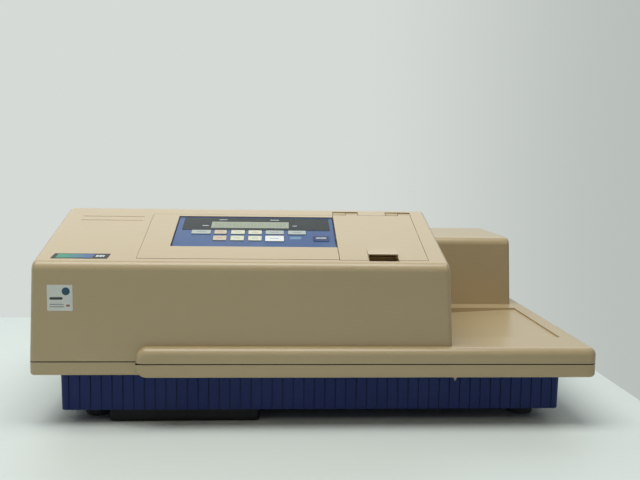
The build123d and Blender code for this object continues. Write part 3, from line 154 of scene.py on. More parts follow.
def slope_span(node: str) -> SlopeSpan:
    """Work out a flat piece's place on the sloped top from its box.

    Args:
        node: The CAD node, a slab that lies along the slope.

    Returns:
        Its edges across and up the slope, and the height of its face over the slope.
    """
    low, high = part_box(node)
    rise, run = sin(SLOPE_ANGLE), cos(SLOPE_ANGLE)
    length = ((high.y - low.y) * run - (high.z - low.z) * rise) / (run**2 - rise**2)
    out, up = low.y - HOUSING_FRONT, high.z - SLOPE_FOOT - length * rise
    start, top = out * run + up * rise, up * run - out * rise
    edges = ((low.x - LEFT_EDGE), (high.x - LEFT_EDGE), start, start + length, top)
    return SlopeSpan(*(edge / MM for edge in edges))


class Graph:
    """Short way to add and join the nodes of a shader or geometry tree."""

    def __init__(self, tree: Tree) -> None:
        """Keep the tree that is being built."""
        self.tree = tree

    def link(self, source: Socket, target: Socket) -> None:
        """Join one socket to another."""
        self.tree.links.new(source, target)

    def fill(self, made: bpy.types.Node, inputs: dict[Any, Any]) -> None:
        """Set a node's inputs, each to a value or to the socket that feeds it."""
        for key, value in inputs.items():
            if isinstance(value, Socket):
                self.link(value, made.inputs[key])
            else:
                made.inputs[key].default_value = value

    def node(self, kind: str, inputs: dict[Any, Any] | None = None, **settings: Any) -> bpy.types.Node:
        """Add a node.

        Args:
            kind: The node's type name.
            inputs: Socket name or number to a value, or to the socket that feeds it.
            **settings: Properties of the node itself.

        Returns:
            The new node.
        """
        made = self.tree.nodes.new(kind)
        for key, value in settings.items():
            setattr(made, key, value)
        self.fill(made, inputs or {})
        return made

    def math(self, operation: str, *values: Any) -> Socket:
        """Add a Math node on the given values and return its result."""
        return self.node("ShaderNodeMath", dict(enumerate(values)), operation=operation).outputs[0]

    def times(self, first: Any, second: Any) -> Socket:
        """Multiply two values."""
        return self.math("MULTIPLY", first, second)

    def blend(self, share: Any, first: Any, second: Any) -> Socket:
        """Mix two colours by a share and return the mixed colour."""
        return self.node("ShaderNodeMix", {0: share, 6: first, 7: second}, data_type="RGBA").outputs[2]

    def ramp(self, value: Any, low: float, high: float, first: float = 0.0, last: float = 1.0) -> Socket:
        """Map a value smoothly from one span to another and return the result."""
        inputs = {"Value": value, "From Min": low, "From Max": high, "To Min": first, "To Max": last}
        return self.node("ShaderNodeMapRange", inputs, interpolation_type="SMOOTHSTEP").outputs[0]

    def noise(self, vector: Socket, scale: Any, detail: float, distortion: float = 0.0) -> Socket:
        """Add a noise texture and return its value."""
        inputs = {"Vector": vector, "Scale": scale, "Detail": detail, "Distortion": distortion}
        return self.node("ShaderNodeTexNoise", inputs).outputs[0]

    def axis(self, vector: Socket, number: int) -> Socket:
        """Take one axis of a vector."""
        return self.node("ShaderNodeSeparateXYZ", {0: vector}).outputs[number]


FLOAT = "NodeSocketFloat"
GEOMETRY = "NodeSocketGeometry"
NOWHERE = (0.0, 0.0, 0.0)


def socket_kind(default: Any) -> str:
    """Find the socket type that a default value calls for, or take the type's own name."""
    if isinstance(default, str):
        return default
    if isinstance(default, tuple):
        return "NodeSocketColor" if len(default) == 4 else "NodeSocketVector"
    return "NodeSocketInt" if isinstance(default, int) else FLOAT


def open_tree(name: str, kind: str, inputs: dict[str, Any], outputs: dict[str, str]) -> tuple[Graph, Any, Any]:
    """Open a node group.

    Args:
        name: The group's name.
        kind: Its tree type.
        inputs: Each input's name to its default, or to its socket type where it has no default.
        outputs: Each output's name to its socket type.

    Returns:
        Its graph, the sockets that give its inputs and the sockets that take its outputs.
    """
    graph = Graph(bpy.data.node_groups.new(name, kind))
    for label, default in inputs.items():
        socket = graph.tree.interface.new_socket(label, in_out="INPUT", socket_type=socket_kind(default))
        if not isinstance(default, str):
            socket.default_value = default
    for label, socket_type in outputs.items():
        graph.tree.interface.new_socket(label, in_out="OUTPUT", socket_type=socket_type)
    return graph, graph.node("NodeGroupInput").outputs, graph.node("NodeGroupOutput").inputs


class EffectGroups:
    """Shader node groups for the effects that several finishes share, each built once."""

    # How far, as a multiple of the edge reach, occlusion looks for the inner corners that get painted shade
    corner_shade_reach: float = 5.0
    occlusion_samples: int = 6

    def __init__(self) -> None:
        """Build every group."""
        self.grain = self._grain()
        self.blotch = self._blotch()
        self.edges = self._edges()
        self.dust = self._dust()
        self.smudge = self._smudge()
        self.brushing = self._brushing()

    @staticmethod
    def _open(name: str, inputs: dict[str, Any], *outputs: str) -> tuple[Graph, Any, Any]:
        """Open an effect that starts from a place and gives the named numbers."""
        return open_tree(name, "ShaderNodeTree", {"Vector": NOWHERE, **inputs}, dict.fromkeys(outputs, FLOAT))

    def _grain(self) -> Tree:
        """Fine pits and bumps of a textured mould."""
        graph, given, out = self._open("mould_grain", {"Scale": 1500.0}, "Height")
        fine = graph.noise(given["Vector"], given["Scale"], 3.0)
        cell_inputs = {"Vector": given["Vector"], "Scale": graph.times(given["Scale"], 0.45)}
        cells = graph.node("ShaderNodeTexVoronoi", cell_inputs, feature="SMOOTH_F1")
        total = graph.math("ADD", graph.times(fine, 0.7), graph.times(cells.outputs[0], 0.5))
        graph.link(total, out["Height"])
        return graph.tree

    @staticmethod
    def _blotch() -> Tree:
        """Soft patches of a second shade, as aged plastic has."""
        colours = {"Colour": (0.5, 0.5, 0.5, 1.0), "Shade": (0.4, 0.4, 0.4, 1.0)}
        inputs = {"Vector": NOWHERE, **colours, "Scale": 8.0, "Amount": 0.5}
        graph, given, out = open_tree("soft_blotches", "ShaderNodeTree", inputs, {"Colour": "NodeSocketColor"})
        wide = graph.noise(given["Vector"], given["Scale"], 4.0)
        fine = graph.noise(given["Vector"], graph.times(given["Scale"], 9.0), 3.0)
        both = graph.math("ADD", graph.times(wide, 0.75), graph.times(fine, 0.25))
        share = graph.times(graph.ramp(both, 0.38, 0.66), given["Amount"])
        graph.link(graph.blend(share, given["Colour"], given["Shade"]), out["Colour"])
        return graph.tree

    def _edges(self) -> Tree:
        """Mask of outer edges, broken up as handling wears them, and an occlusion mask of inner corners, where
        dirt and painted shade go.
        """
        graph, given, out = self._open("edge_wear_and_corner_shade", {"Reach": 0.001, "Amount": 0.5}, "Edges", "Corner dirt and shade")
        occlusion = {"samples": self.occlusion_samples, "only_local": True}
        inner = graph.node("ShaderNodeAmbientOcclusion", {"Distance": given["Reach"]}, inside=True, **occlusion)
        rough = graph.noise(given["Vector"], 90.0, 4.0)
        worn = graph.ramp(inner.outputs["AO"], 0.85, 0.45)
        broken = graph.times(worn, graph.ramp(rough, 0.35, 0.7))
        graph.link(graph.times(broken, given["Amount"]), out["Edges"])
        reach = graph.times(given["Reach"], self.corner_shade_reach)
        # Occlusion of inner corners: their darkening is part dirt and part painted shade
        outer = graph.node("ShaderNodeAmbientOcclusion", {"Distance": reach}, **occlusion)
        corners = graph.ramp(outer.outputs["AO"], 0.7, 0.15)
        graph.link(graph.times(corners, given["Amount"]), out["Corner dirt and shade"])
        return graph.tree

    def _dust(self) -> Tree:
        """Mask of fine dust that settles on what faces up."""
        graph, given, out = self._open("settled_dust", {"Normal": (0.0, 0.0, 1.0), "Amount": 0.1}, "Mask")
        facing_up = graph.ramp(graph.axis(given["Normal"], 2), 0.35, 0.95)
        wide = graph.ramp(graph.noise(given["Vector"], 14.0, 6.0), 0.35, 0.75)
        specks = graph.ramp(graph.noise(given["Vector"], 420.0, 2.0), 0.6, 0.75, 0.0, 0.6)
        patchy = graph.math("ADD", wide, specks)
        graph.link(graph.times(graph.times(facing_up, patchy), given["Amount"]), out["Mask"])
        return graph.tree

    def _smudge(self) -> Tree:
        """Roughness that varies a little, as a handled surface does."""
        graph, given, out = self._open("handled_smudges", {"Roughness": 0.4, "Spread": 0.08}, "Roughness")
        wide = graph.noise(given["Vector"], 22.0, 5.0, 0.6)
        offset = graph.times(graph.ramp(wide, 0.3, 0.7, -1.0, 1.0), given["Spread"])
        graph.link(graph.math("ADD", given["Roughness"], offset), out["Roughness"])
        return graph.tree

    def _brushing(self) -> Tree:
        """Long fine lines of brushed or turned metal along X."""
        inputs = {"Scale": 900.0, "Roughness": 0.3, "Spread": 0.1}
        graph, given, out = self._open("brushed_lines", inputs, "Height", "Roughness")
        drawn_out = {0: given["Vector"], 1: (0.02, 1.0, 1.0)}
        stretched = graph.node("ShaderNodeVectorMath", drawn_out, operation="MULTIPLY")
        lines = graph.noise(stretched.outputs[0], given["Scale"], 4.0)
        graph.link(lines, out["Height"])
        swing = graph.times(graph.ramp(lines, 0.3, 0.7, -1.0, 1.0), given["Spread"])
        graph.link(graph.math("ADD", given["Roughness"], swing), out["Roughness"])
        return graph.tree


class Sheen(Enum):
    """How the outer layer of a finish shines."""

    DIFFUSE = "diffuse"
    METAL = "metal"
    CLEAR = "clear"


DUST_COLOUR = (214, 210, 200)


@dataclass(frozen=True)
class Finish:
    """One procedural finish: colours, gloss, texture depth in metres, wear, and corner darkening that is part
    dirt and part painted shade.
    """

    name: str
    colour: Colour
    shade: Colour
    roughness: float = 0.45
    sheen: Sheen = Sheen.DIFFUSE
    blotches: float = 0.5
    grain_scale: float = 1500.0
    grain_depth: float = 0.00002
    brushed: bool = False
    wear: float = 0.0
    worn_colour: Colour = (225, 220, 205)
    # How much inner corners darken and to what colour: part dirt, part painted shade
    corner_dirt_and_shade: float = 0.0
    corner_dirt_and_shade_colour: Colour = (70, 62, 48)
    dust: float = 0.0
    ior: float = 1.5
    spread: float = 0.05

    def build(self, groups: EffectGroups) -> Material:
        """Make the material.

        Args:
            groups: The shared effect groups.

        Returns:
            The finished material.
        """
        material = bpy.data.materials.new(self.name)
        material.use_nodes = True
        material.diffuse_color = linear(self.colour)
        graph = Graph(material.node_tree)
        place = graph.node("ShaderNodeTexCoord").outputs
        height, roughness = self._surface(graph, groups, place["Object"])
        bump = graph.node("ShaderNodeBump", {"Height": height, "Distance": self.grain_depth, "Strength": 1.0})
        inputs = {
            "Base Color": self._colour(graph, groups, place["Object"], place["Normal"]),
            "Roughness": roughness,
            "Normal": bump.outputs[0],
            "IOR": self.ior,
            "Metallic": float(self.sheen is Sheen.METAL),
            "Transmission Weight": float(self.sheen is Sheen.CLEAR),
        }
        graph.fill(material.node_tree.nodes["Principled BSDF"], inputs)
        return material

    def _colour(self, graph: Graph, groups: EffectGroups, vector: Socket, normal: Socket) -> Socket:
        """Lay blotches, worn edges, corners darkened by dirt and painted shade, and dust over the base colour.
        """
        shades = {"Colour": linear(self.colour), "Shade": linear(self.shade), "Amount": self.blotches}
        blotch = graph.node("ShaderNodeGroup", {"Vector": vector, **shades}, node_tree=groups.blotch)
        colour = blotch.outputs[0]
        if self.wear or self.corner_dirt_and_shade:
            edges = graph.node("ShaderNodeGroup", {"Vector": vector, "Amount": 1.0}, node_tree=groups.edges)
            colour = graph.blend(graph.times(edges.outputs[0], self.wear), colour, linear(self.worn_colour))
            # Inner corners darkened through the occlusion mask: part dirt, part painted shade
            colour = graph.blend(graph.times(edges.outputs[1], self.corner_dirt_and_shade), colour, linear(self.corner_dirt_and_shade_colour))
        if self.dust:
            inputs = {"Vector": vector, "Normal": normal, "Amount": self.dust}
            dust = graph.node("ShaderNodeGroup", inputs, node_tree=groups.dust)
            colour = graph.blend(dust.outputs[0], colour, linear(DUST_COLOUR))
        return colour

    def _surface(self, graph: Graph, groups: EffectGroups, vector: Socket) -> tuple[Socket, Socket]:
        """Height of the texture and the roughness over the surface."""
        grain_inputs = {"Vector": vector, "Scale": self.grain_scale}
        gloss_inputs = {"Vector": vector, "Roughness": self.roughness, "Spread": self.spread}
        if self.brushed:
            lines = graph.node("ShaderNodeGroup", {**grain_inputs, **gloss_inputs}, node_tree=groups.brushing)
            return lines.outputs[0], lines.outputs[1]
        grain = graph.node("ShaderNodeGroup", grain_inputs, node_tree=groups.grain)
        smudge = graph.node("ShaderNodeGroup", gloss_inputs, node_tree=groups.smudge)
        return grain.outputs[0], smudge.outputs[0]


@dataclass(frozen=True)
class SeamedFinish(Finish):
    """A moulded finish with painted shade, a near-black band, between the two heights of the case's seam."""

    seam_low: float = SEAM_LOW
    seam_high: float = SEAM_HIGH
    # Near-black painted shade of the gap between cover and pan
    seam_shade: Colour = (30, 22, 8)

    def _colour(self, graph: Graph, groups: EffectGroups, vector: Socket, normal: Socket) -> Socket:
        """Lay the seam's painted shade over the moulded colour."""
        colour = super()._colour(graph, groups, vector, normal)
        height = graph.axis(vector, 2)
        over = graph.math("GREATER_THAN", height, self.seam_low)
        under = graph.math("LESS_THAN", height, self.seam_high)
        return graph.blend(graph.times(over, under), colour, linear(self.seam_shade))


@dataclass(frozen=True)
class GradientFinish(Finish):
    """A printed face whose colour runs from one side to the other."""

    far_colour: Colour = (84, 104, 158)
    start: float = 24.0
    end: float = 66.0

    def _colour(self, graph: Graph, groups: EffectGroups, vector: Socket, normal: Socket) -> Socket:
        """Run the colour along X between the two ends, given across the slope."""
        start, end = (on_slope(across, 0, 0).x for across in (self.start, self.end))
        share = graph.ramp(graph.axis(vector, 0), start, end)
        return graph.blend(share, linear(self.colour), linear(self.far_colour))


def finish_list() -> list[Finish]:
    """List every finish that the reader uses."""
    metal = {"sheen": Sheen.METAL, "brushed": True, "grain_depth": 0.000004, "blotches": 0.3}
    key = {"grain_scale": 2200, "grain_depth": 0.000008, "corner_dirt_and_shade": 0.2}
    ink = {"grain_depth": 0.000003}
    smooth = {"grain_depth": 0.0000005}
    return [
        SeamedFinish("beige_plastic", (189, 170, 132), (185, 166, 128), 0.3, grain_depth=0.000004, corner_dirt_and_shade=0.1,
                     dust=0.015, ior=1.6, spread=0.006),
        Finish("blue_plastic", (29, 46, 104), (24, 40, 95), 0.5, ior=1.3, grain_depth=0.00003, wear=0.12,
               worn_colour=(76, 88, 128), corner_dirt_and_shade=0.4, corner_dirt_and_shade_colour=(8, 11, 26), dust=0.02),
        Finish("black_moulding", (13, 14, 17), (18, 19, 22), 0.5, wear=0.15, worn_colour=(70, 70, 72),
               dust=0.03, ior=1.3),
        Finish("foot_rubber", (22, 24, 30), (34, 35, 40), 0.75, grain_depth=0.00004, wear=0.2,
               worn_colour=(70, 70, 74), dust=0.1),
        Finish("bright_steel", (196, 197, 200), (176, 178, 182), 0.28, spread=0.1, corner_dirt_and_shade=0.3, **metal),
        Finish("blue_film", (54, 86, 138), (48, 78, 130), 0.36, grain_scale=2600, grain_depth=0.000006,
               corner_dirt_and_shade=0.2, corner_dirt_and_shade_colour=(24, 34, 58), dust=0.03, ior=1.3),
        Finish("film_edge", (24, 30, 52), (20, 26, 46), 0.5, grain_depth=0.000005, ior=1.2),
        Finish("smoked_window", (36, 42, 44), (33, 39, 41), 0.25, spread=0.03, dust=0.04, ior=1.15, **smooth),
        Finish("display_face", (162, 171, 152), (157, 166, 147), 0.3, spread=0.03, ior=1.2, **smooth),
        Finish("display_cell", (154, 163, 145), (149, 158, 140), 0.3, ior=1.2, **smooth),
        Finish("solder_mask", (24, 92, 52), (20, 80, 45), 0.3, grain_depth=0.00001),
        Finish("black_foam", (24, 24, 25), (36, 36, 37), 0.9, grain_scale=900, grain_depth=0.0002, dust=0.15),
        Finish("black_anodised", (30, 30, 32), (38, 38, 41), 0.42, wear=0.3, worn_colour=(150, 150, 154),
               dust=0.04),
        Finish("white_nylon", (222, 220, 210), (212, 209, 198), 0.4, corner_dirt_and_shade=0.3),
        Finish("cut_brass", (206, 172, 104), (190, 156, 88), 0.25, spread=0.08, **metal),
        Finish("mill_aluminium", (188, 190, 193), (172, 174, 178), 0.36, spread=0.1, corner_dirt_and_shade=0.3, **metal),
        Finish("lens_glass", (235, 243, 246), (228, 238, 242), 0.03, Sheen.CLEAR, grain_depth=0.0000002,
               spread=0.01, ior=1.52),
        Finish("ruled_mirror", (226, 228, 236), (212, 216, 232), 0.06, Sheen.METAL, spread=0.02, **smooth),
        Finish("motor_black", (38, 38, 41), (46, 46, 50), 0.4, wear=0.2, worn_colour=(150, 150, 152)),
        Finish("key_grey", (172, 182, 178), (164, 174, 170), 0.42, **key),
        Finish("key_peach", (200, 188, 168), (195, 182, 161), 0.42, **key),
        Finish("key_yellow", (214, 217, 192), (208, 211, 184), 0.42, **key),
        Finish("key_white", (228, 232, 230), (220, 224, 222), 0.42, **key),
        Finish("key_blue", (46, 64, 116), (42, 58, 108), 0.4, **key),
        Finish("white_print", (214, 222, 222), (206, 214, 214), 0.5, **ink),
        Finish("grey_print", (116, 124, 128), (110, 118, 122), 0.5, **ink),
        Finish("brown_print", (168, 118, 92), (160, 112, 86), 0.5, **ink),
        Finish("pale_blue_print", (104, 140, 172), (98, 132, 166), 0.5, **ink),
        Finish("label_stock", (226, 231, 226), (219, 224, 219), 0.3, grain_depth=0.000004, corner_dirt_and_shade=0.2, dust=0.04),
        Finish("label_dot", (26, 78, 104), (22, 66, 92), 0.35, **ink),
        Finish("label_ink", (58, 64, 68), (64, 70, 74), 0.4, **ink),
        Finish("badge_border", (40, 42, 38), (46, 48, 44), 0.3, grain_depth=0.000002, ior=1.25),
        GradientFinish("badge_field", (66, 150, 118), (60, 140, 110), 0.3, grain_depth=0.000002, ior=1.25),
    ]


SMOOTH_BELOW = radians(35)
MERGE_DISTANCE = 2e-6
FLAT_WITHIN = radians(0.6)
BEVEL_ABOVE = radians(32)


def body_of_node(node: str) -> str:
    """Find the body that a CAD node rides on."""
    return frame["nodes"][node]["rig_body"]


def place_piece(name: str, mesh: Mesh, finish: Material, body: str, smooth: bool = False) -> Piece:
    """Put a finished mesh into the scene.

    Args:
        name: The piece's name.
        mesh: Its mesh, already where it belongs.
        finish: Its material, for all faces, unless the mesh has its own.
        body: The body that it rides on.
        smooth: Whether its faces shade smoothly.

    Returns:
        The new object.
    """
    if not mesh.materials:
        mesh.materials.append(finish)
    mesh.name = name
    piece = bpy.data.objects.new(name, mesh)
    bpy.context.scene.collection.objects.link(piece)
    if smooth:
        mesh.shade_smooth()
        mesh.set_sharp_from_angle(angle=SMOOTH_BELOW)
    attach(piece, body)
    LOG.info("piece %s: %d faces, on %s", name, len(mesh.polygons), body)
    return piece


def finished_mesh(name: str, shape: bmesh.types.BMesh) -> Mesh:
    """Turn a worked shape into a new mesh, and free the shape."""
    mesh = bpy.data.meshes.new(name)
    shape.to_mesh(mesh)
    shape.free()
    return mesh


def refine(node: str, name: str, finish: Material, edge: float, extra: Sequence["Patch"] = ()) -> None:
    """Make a clean copy of a CAD node with small rounded edges, and let it stand for the node.

    Args:
        node: The CAD node.
        name: The name of the new piece.
        finish: Its material.
        edge: Radius of the rounded edges in millimetres.
        extra: Printed patches joined to the piece, each with its own finish.
    """
    shape = bmesh.new()
    shape.from_mesh(frame["nodes"][node].data)
    bmesh.ops.remove_doubles(shape, verts=shape.verts, dist=MERGE_DISTANCE)
    bmesh.ops.dissolve_limit(shape, angle_limit=FLAT_WITHIN, verts=shape.verts, edges=shape.edges)
    for face in shape.faces:
        face.material_index = 0
    piece = place_piece(name, finished_mesh(name, shape), finish, body_of_node(node), smooth=True)
    bevel = piece.modifiers.new("rounded_edges", "BEVEL")
    bevel.width = edge * MM
    bevel.segments = 2
    bevel.limit_method = "ANGLE"
    bevel.angle_limit = BEVEL_ABOVE
    bevel.harden_normals = True
    bevel.use_clamp_overlap = True
    normals = piece.modifiers.new("flat_faces", "WEIGHTED_NORMAL")
    normals.mode = "FACE_AREA"
    normals.weight = 100
    normals.keep_sharp = True
    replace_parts(piece, node)
    for patch in extra:
        patch.join_to(piece)


def dress(node: str, finish: Material) -> None:
    """Give a CAD node that stays as it is its finish.

    Args:
        node: The CAD node.
        finish: Its material.
    """
    mesh_object = frame["nodes"][node]
    if not mesh_object.material_slots:
        mesh_object.data.materials.append(finish)
    for slot in mesh_object.material_slots:
        slot.material = finish
    LOG.info("node %s: %s", node, finish.name)


def rounded_outline(width: float, height: float, radius: float, steps: int = 6) -> list[Pair]:
    """Outline of a rectangle with round corners, about its middle.

    Args:
        width: Its width.
        height: Its height.
        radius: The corners' radius, at most half the shorter side.
        steps: Points on each corner, less one.

    Returns:
        The outline's points, anticlockwise.
    """
    radius = min(radius, width / 2, height / 2)
    points = []
    for corner, (side, rise) in enumerate(((1, 1), (-1, 1), (-1, -1), (1, -1))):
        for step in range(steps + 1):
            turn = corner * pi / 2 + step * pi / 2 / steps
            across = side * (width / 2 - radius) + radius * cos(turn)
            points.append((across, rise * (height / 2 - radius) + radius * sin(turn)))
    return points


def slab_mesh(outline: Outline, low: float, high: float, place: Matrix, hole: Outline | None = None) -> Mesh:
    """Make a flat slab from an outline in millimetres.

    Args:
        outline: Its outline, anticlockwise.
        low: Height of its underside.
        high: Height of its top.
        place: Where the outline's plane lies, in metres.
        hole: Outline of a hole with as many points, or None.

    Returns:
        The mesh in its place.
    """
    shape = bmesh.new()

    def ring(points: Outline, height: float) -> list[bmesh.types.BMVert]:
        """One closed row of vertices."""
        return [shape.verts.new((x * MM, y * MM, height * MM)) for x, y in points]

    def wall(first: list[bmesh.types.BMVert], second: list[bmesh.types.BMVert]) -> None:
        """Faces between two rows."""
        for number in range(len(first)):
            after = (number + 1) % len(first)
            shape.faces.new((first[number], first[after], second[after], second[number]))

    bottom, top = ring(outline, low), ring(outline, high)
    wall(bottom, top)
    if hole is None:
        shape.faces.new(top)
        shape.faces.new(bottom[::-1])
    else:
        inner_bottom, inner_top = ring(hole, low), ring(hole, high)
        wall(inner_top, inner_bottom)
        wall(top, inner_top)
        wall(inner_bottom, bottom)
    bmesh.ops.recalc_face_normals(shape, faces=shape.faces)
    bmesh.ops.transform(shape, matrix=place, verts=shape.verts)
    return finished_mesh("slab", shape)


@dataclass(frozen=True)
class Patch:
    """A thin printed patch on the sloped top, in millimetres."""

    across: Pair
    up: Pair
    over: float
    finish: str
    radius: float = 0.2
    thickness: float = 0.06
    rim: float = 0.0
    root: float = 0.3

    def mesh(self) -> Mesh:
        """Make the patch's mesh in its place on the slope."""
        middle = on_slope(sum(self.across) / 2, sum(self.up) / 2, 0)
        place = Matrix.Translation(middle) @ SLOPE_AXES
        width, height = self.across[1] - self.across[0], self.up[1] - self.up[0]
        outline = rounded_outline(width, height, self.radius)
        hole = None
        if self.rim:
            hole = rounded_outline(width - 2 * self.rim, height - 2 * self.rim, self.radius - self.rim)
        return slab_mesh(outline, self.over - self.root, self.over + self.thickness, place, hole)

    def join_to(self, piece: Piece) -> None:
        """Add the patch's faces to a piece, with the patch's own finish."""
        finish = bpy.data.materials[self.finish]
        if finish.name not in [slot.name for slot in piece.material_slots]:
            piece.data.materials.append(finish)
        number = [slot.name for slot in piece.material_slots].index(finish.name)
        shape = bmesh.new()
        shape.from_mesh(piece.data)
        before = len(shape.faces)
        own = self.mesh()
        shape.from_mesh(own)
        shape.faces.ensure_lookup_table()
        for face in shape.faces[before:]:
            face.material_index = number
        shape.to_mesh(piece.data)
        shape.free()
        bpy.data.meshes.remove(own)


class PatternShape(Enum):
    """What a grid pattern repeats."""

    CELL = "cell"
    PIN = "pin"
    SCREW = "screw"


class PatternTrees:
    """Geometry trees for what repeats: cells, pins, screw heads and guard wires."""

    # Inputs of every tree: where its geometry goes, how it is turned and what it is made of
    placing = {"Origin": NOWHERE, "Turn": "NodeSocketRotation", "Material": "NodeSocketMaterial"}
    circle_steps: int = 64
    wire_sides: int = 10
    screw_lift: float = 0.52
    arm_sizes = ((0.56, 0.13, 0.5), (0.13, 0.56, 0.5))

    def __init__(self) -> None:
        """Build every tree."""
        self.grids = {shape: self._grid(shape) for shape in PatternShape}
        self.guard = self._guard()

    def _open(self, name: str, inputs: dict[str, Any]) -> tuple[Graph, Any, Any]:
        """Open a geometry tree with its own inputs and the shared ones."""
        return open_tree(name, "GeometryNodeTree", {**inputs, **self.placing}, {"Geometry": GEOMETRY})

    @staticmethod
    def _close(graph: Graph, geometry: Socket, given: Any, out: Any) -> None:
        """Realize, place and dress the geometry, and send it out."""
        real = graph.node("GeometryNodeRealizeInstances", {0: geometry})
        placing = {0: real.outputs[0], "Translation": given["Origin"], "Rotation": given["Turn"]}
        placed = graph.node("GeometryNodeTransform", placing)
        dressed = graph.node("GeometryNodeSetMaterial", {0: placed.outputs[0], "Material": given["Material"]})
        graph.link(dressed.outputs[0], out[0])

    def _grid(self, shape: PatternShape) -> Tree:
        """Rows and columns of one small shape."""
        inputs = {"Columns": 2, "Rows": 2, "Pitch X": 0.01, "Pitch Y": 0.01, "Size": (0.001, 0.001, 0.001)}
        graph, given, out = self._open(f"{shape.value}_grid", inputs)
        grid_inputs = {}
        for axis, count in (("X", "Columns"), ("Y", "Rows")):
            gaps = graph.math("SUBTRACT", given[count], 1.0)
            grid_inputs[f"Size {axis}"] = graph.times(gaps, given[f"Pitch {axis}"])
            grid_inputs[f"Vertices {axis}"] = given[count]
        places = graph.node("GeometryNodeMeshGrid", grid_inputs)
        unit = self._unit(graph, shape)
        copy_inputs = {"Points": places.outputs[0], "Instance": unit, "Scale": given["Size"]}
        copies = graph.node("GeometryNodeInstanceOnPoints", copy_inputs)
        self._close(graph, copies.outputs[0], given, out)
        return graph.tree

    def _unit(self, graph: Graph, shape: PatternShape) -> Socket:
        """The small shape itself, one unit wide: a cell, a pin or a cross-slotted dome."""
        if shape is PatternShape.CELL:
            return graph.node("GeometryNodeMeshCube", {"Size": (1.0, 1.0, 1.0)}).outputs[0]
        if shape is PatternShape.PIN:
            pin_inputs = {"Vertices": 16, "Radius": 0.5, "Depth": 1.0}
            return graph.node("GeometryNodeMeshCylinder", pin_inputs).outputs[0]
        head = graph.node("GeometryNodeMeshUVSphere", {"Segments": 28, "Rings": 14, "Radius": 0.5})
        keep = self._lifted_box(graph, (2.0, 2.0, 1.0), self.screw_lift)
        dome = graph.node("GeometryNodeMeshBoolean", {"Mesh 2": head.outputs[0]}, operation="INTERSECT")
        graph.link(keep, dome.inputs["Mesh 2"])
        arms = graph.node("GeometryNodeJoinGeometry")
        for size in self.arm_sizes:
            graph.link(self._lifted_box(graph, size, 0.5), arms.inputs[0])
        meshes = {"Mesh 1": dome.outputs[0], "Mesh 2": arms.outputs[0]}
        return graph.node("GeometryNodeMeshBoolean", meshes, operation="DIFFERENCE").outputs[0]

    @staticmethod
    def _lifted_box(graph: Graph, size: tuple[float, float, float], lift: float) -> Socket:
        """A box whose middle is lifted over the ground."""
        box = graph.node("GeometryNodeMeshCube", {"Size": size})
        lifting = {0: box.outputs[0], "Translation": (0.0, 0.0, lift)}
        return graph.node("GeometryNodeTransform", lifting).outputs[0]

    def _guard(self) -> Tree:
        """Rings of wire about one middle, joined by crossing bars."""
        inputs = {"Rings": 4, "Pitch": 0.006, "Largest": 0.026, "Wire": 0.0008, "Reach": 0.038}
        graph, given, out = self._open("wire_guard", inputs)
        centres = graph.node("GeometryNodeMeshLine", {"Count": given["Rings"], "Offset": NOWHERE})
        circle_inputs = {"Resolution": self.circle_steps, "Radius": 1.0}
        circle = graph.node("GeometryNodeCurvePrimitiveCircle", circle_inputs)
        inward = graph.times(graph.node("GeometryNodeInputIndex").outputs[0], given["Pitch"])
        radius = graph.math("SUBTRACT", given["Largest"], inward)
        ring_inputs = {"Points": centres.outputs[0], "Instance": circle.outputs[0], "Scale": radius}
        rings = graph.node("GeometryNodeInstanceOnPoints", ring_inputs)
        joined = graph.node("GeometryNodeJoinGeometry")
        real_rings = graph.node("GeometryNodeRealizeInstances", {0: rings.outputs[0]})
        graph.link(real_rings.outputs[0], joined.inputs[0])
        for turn in (pi / 4, -pi / 4):
            ends = {"Start": (-1.0, 0.0, 0.0), "End": (1.0, 0.0, 0.0)}
            line = graph.node("GeometryNodeCurvePrimitiveLine", ends)
            turning = {0: line.outputs[0], "Rotation": (0.0, 0.0, turn), "Scale": given["Reach"]}
            graph.link(graph.node("GeometryNodeTransform", turning).outputs[0], joined.inputs[0])
        even = graph.node("GeometryNodeSetCurveRadius", {0: joined.outputs[0], "Radius": 1.0})
        profile_inputs = {"Resolution": self.wire_sides, "Radius": given["Wire"]}
        profile = graph.node("GeometryNodeCurvePrimitiveCircle", profile_inputs)
        wire_inputs = {0: even.outputs[0], 1: profile.outputs[0], "Fill Caps": True}
        wires = graph.node("GeometryNodeCurveToMesh", wire_inputs)
        self._close(graph, wires.outputs[0], given, out)
        return graph.tree

    @staticmethod
    def run(name: str, tree: Tree, values: dict[str, Any]) -> Mesh:
        """Run a tree and keep its result as a plain mesh.

        Args:
            name: The piece's name.
            tree: The geometry tree.
            values: Input name to value.

        Returns:
            The mesh that the tree gives.
        """
        holder = bpy.data.objects.new(f"{name}_maker", bpy.data.meshes.new(f"{name}_start"))
        bpy.context.scene.collection.objects.link(holder)
        maker = holder.modifiers.new("pattern", "NODES")
        maker.node_group = tree
        for item in tree.interface.items_tree:
            if item.item_type == "SOCKET" and item.in_out == "INPUT" and item.name in values:
                maker[item.identifier] = values[item.name]
        depsgraph = bpy.context.evaluated_depsgraph_get()
        mesh = bpy.data.meshes.new_from_object(holder.evaluated_get(depsgraph), depsgraph=depsgraph)
        bpy.data.objects.remove(holder)
        return mesh


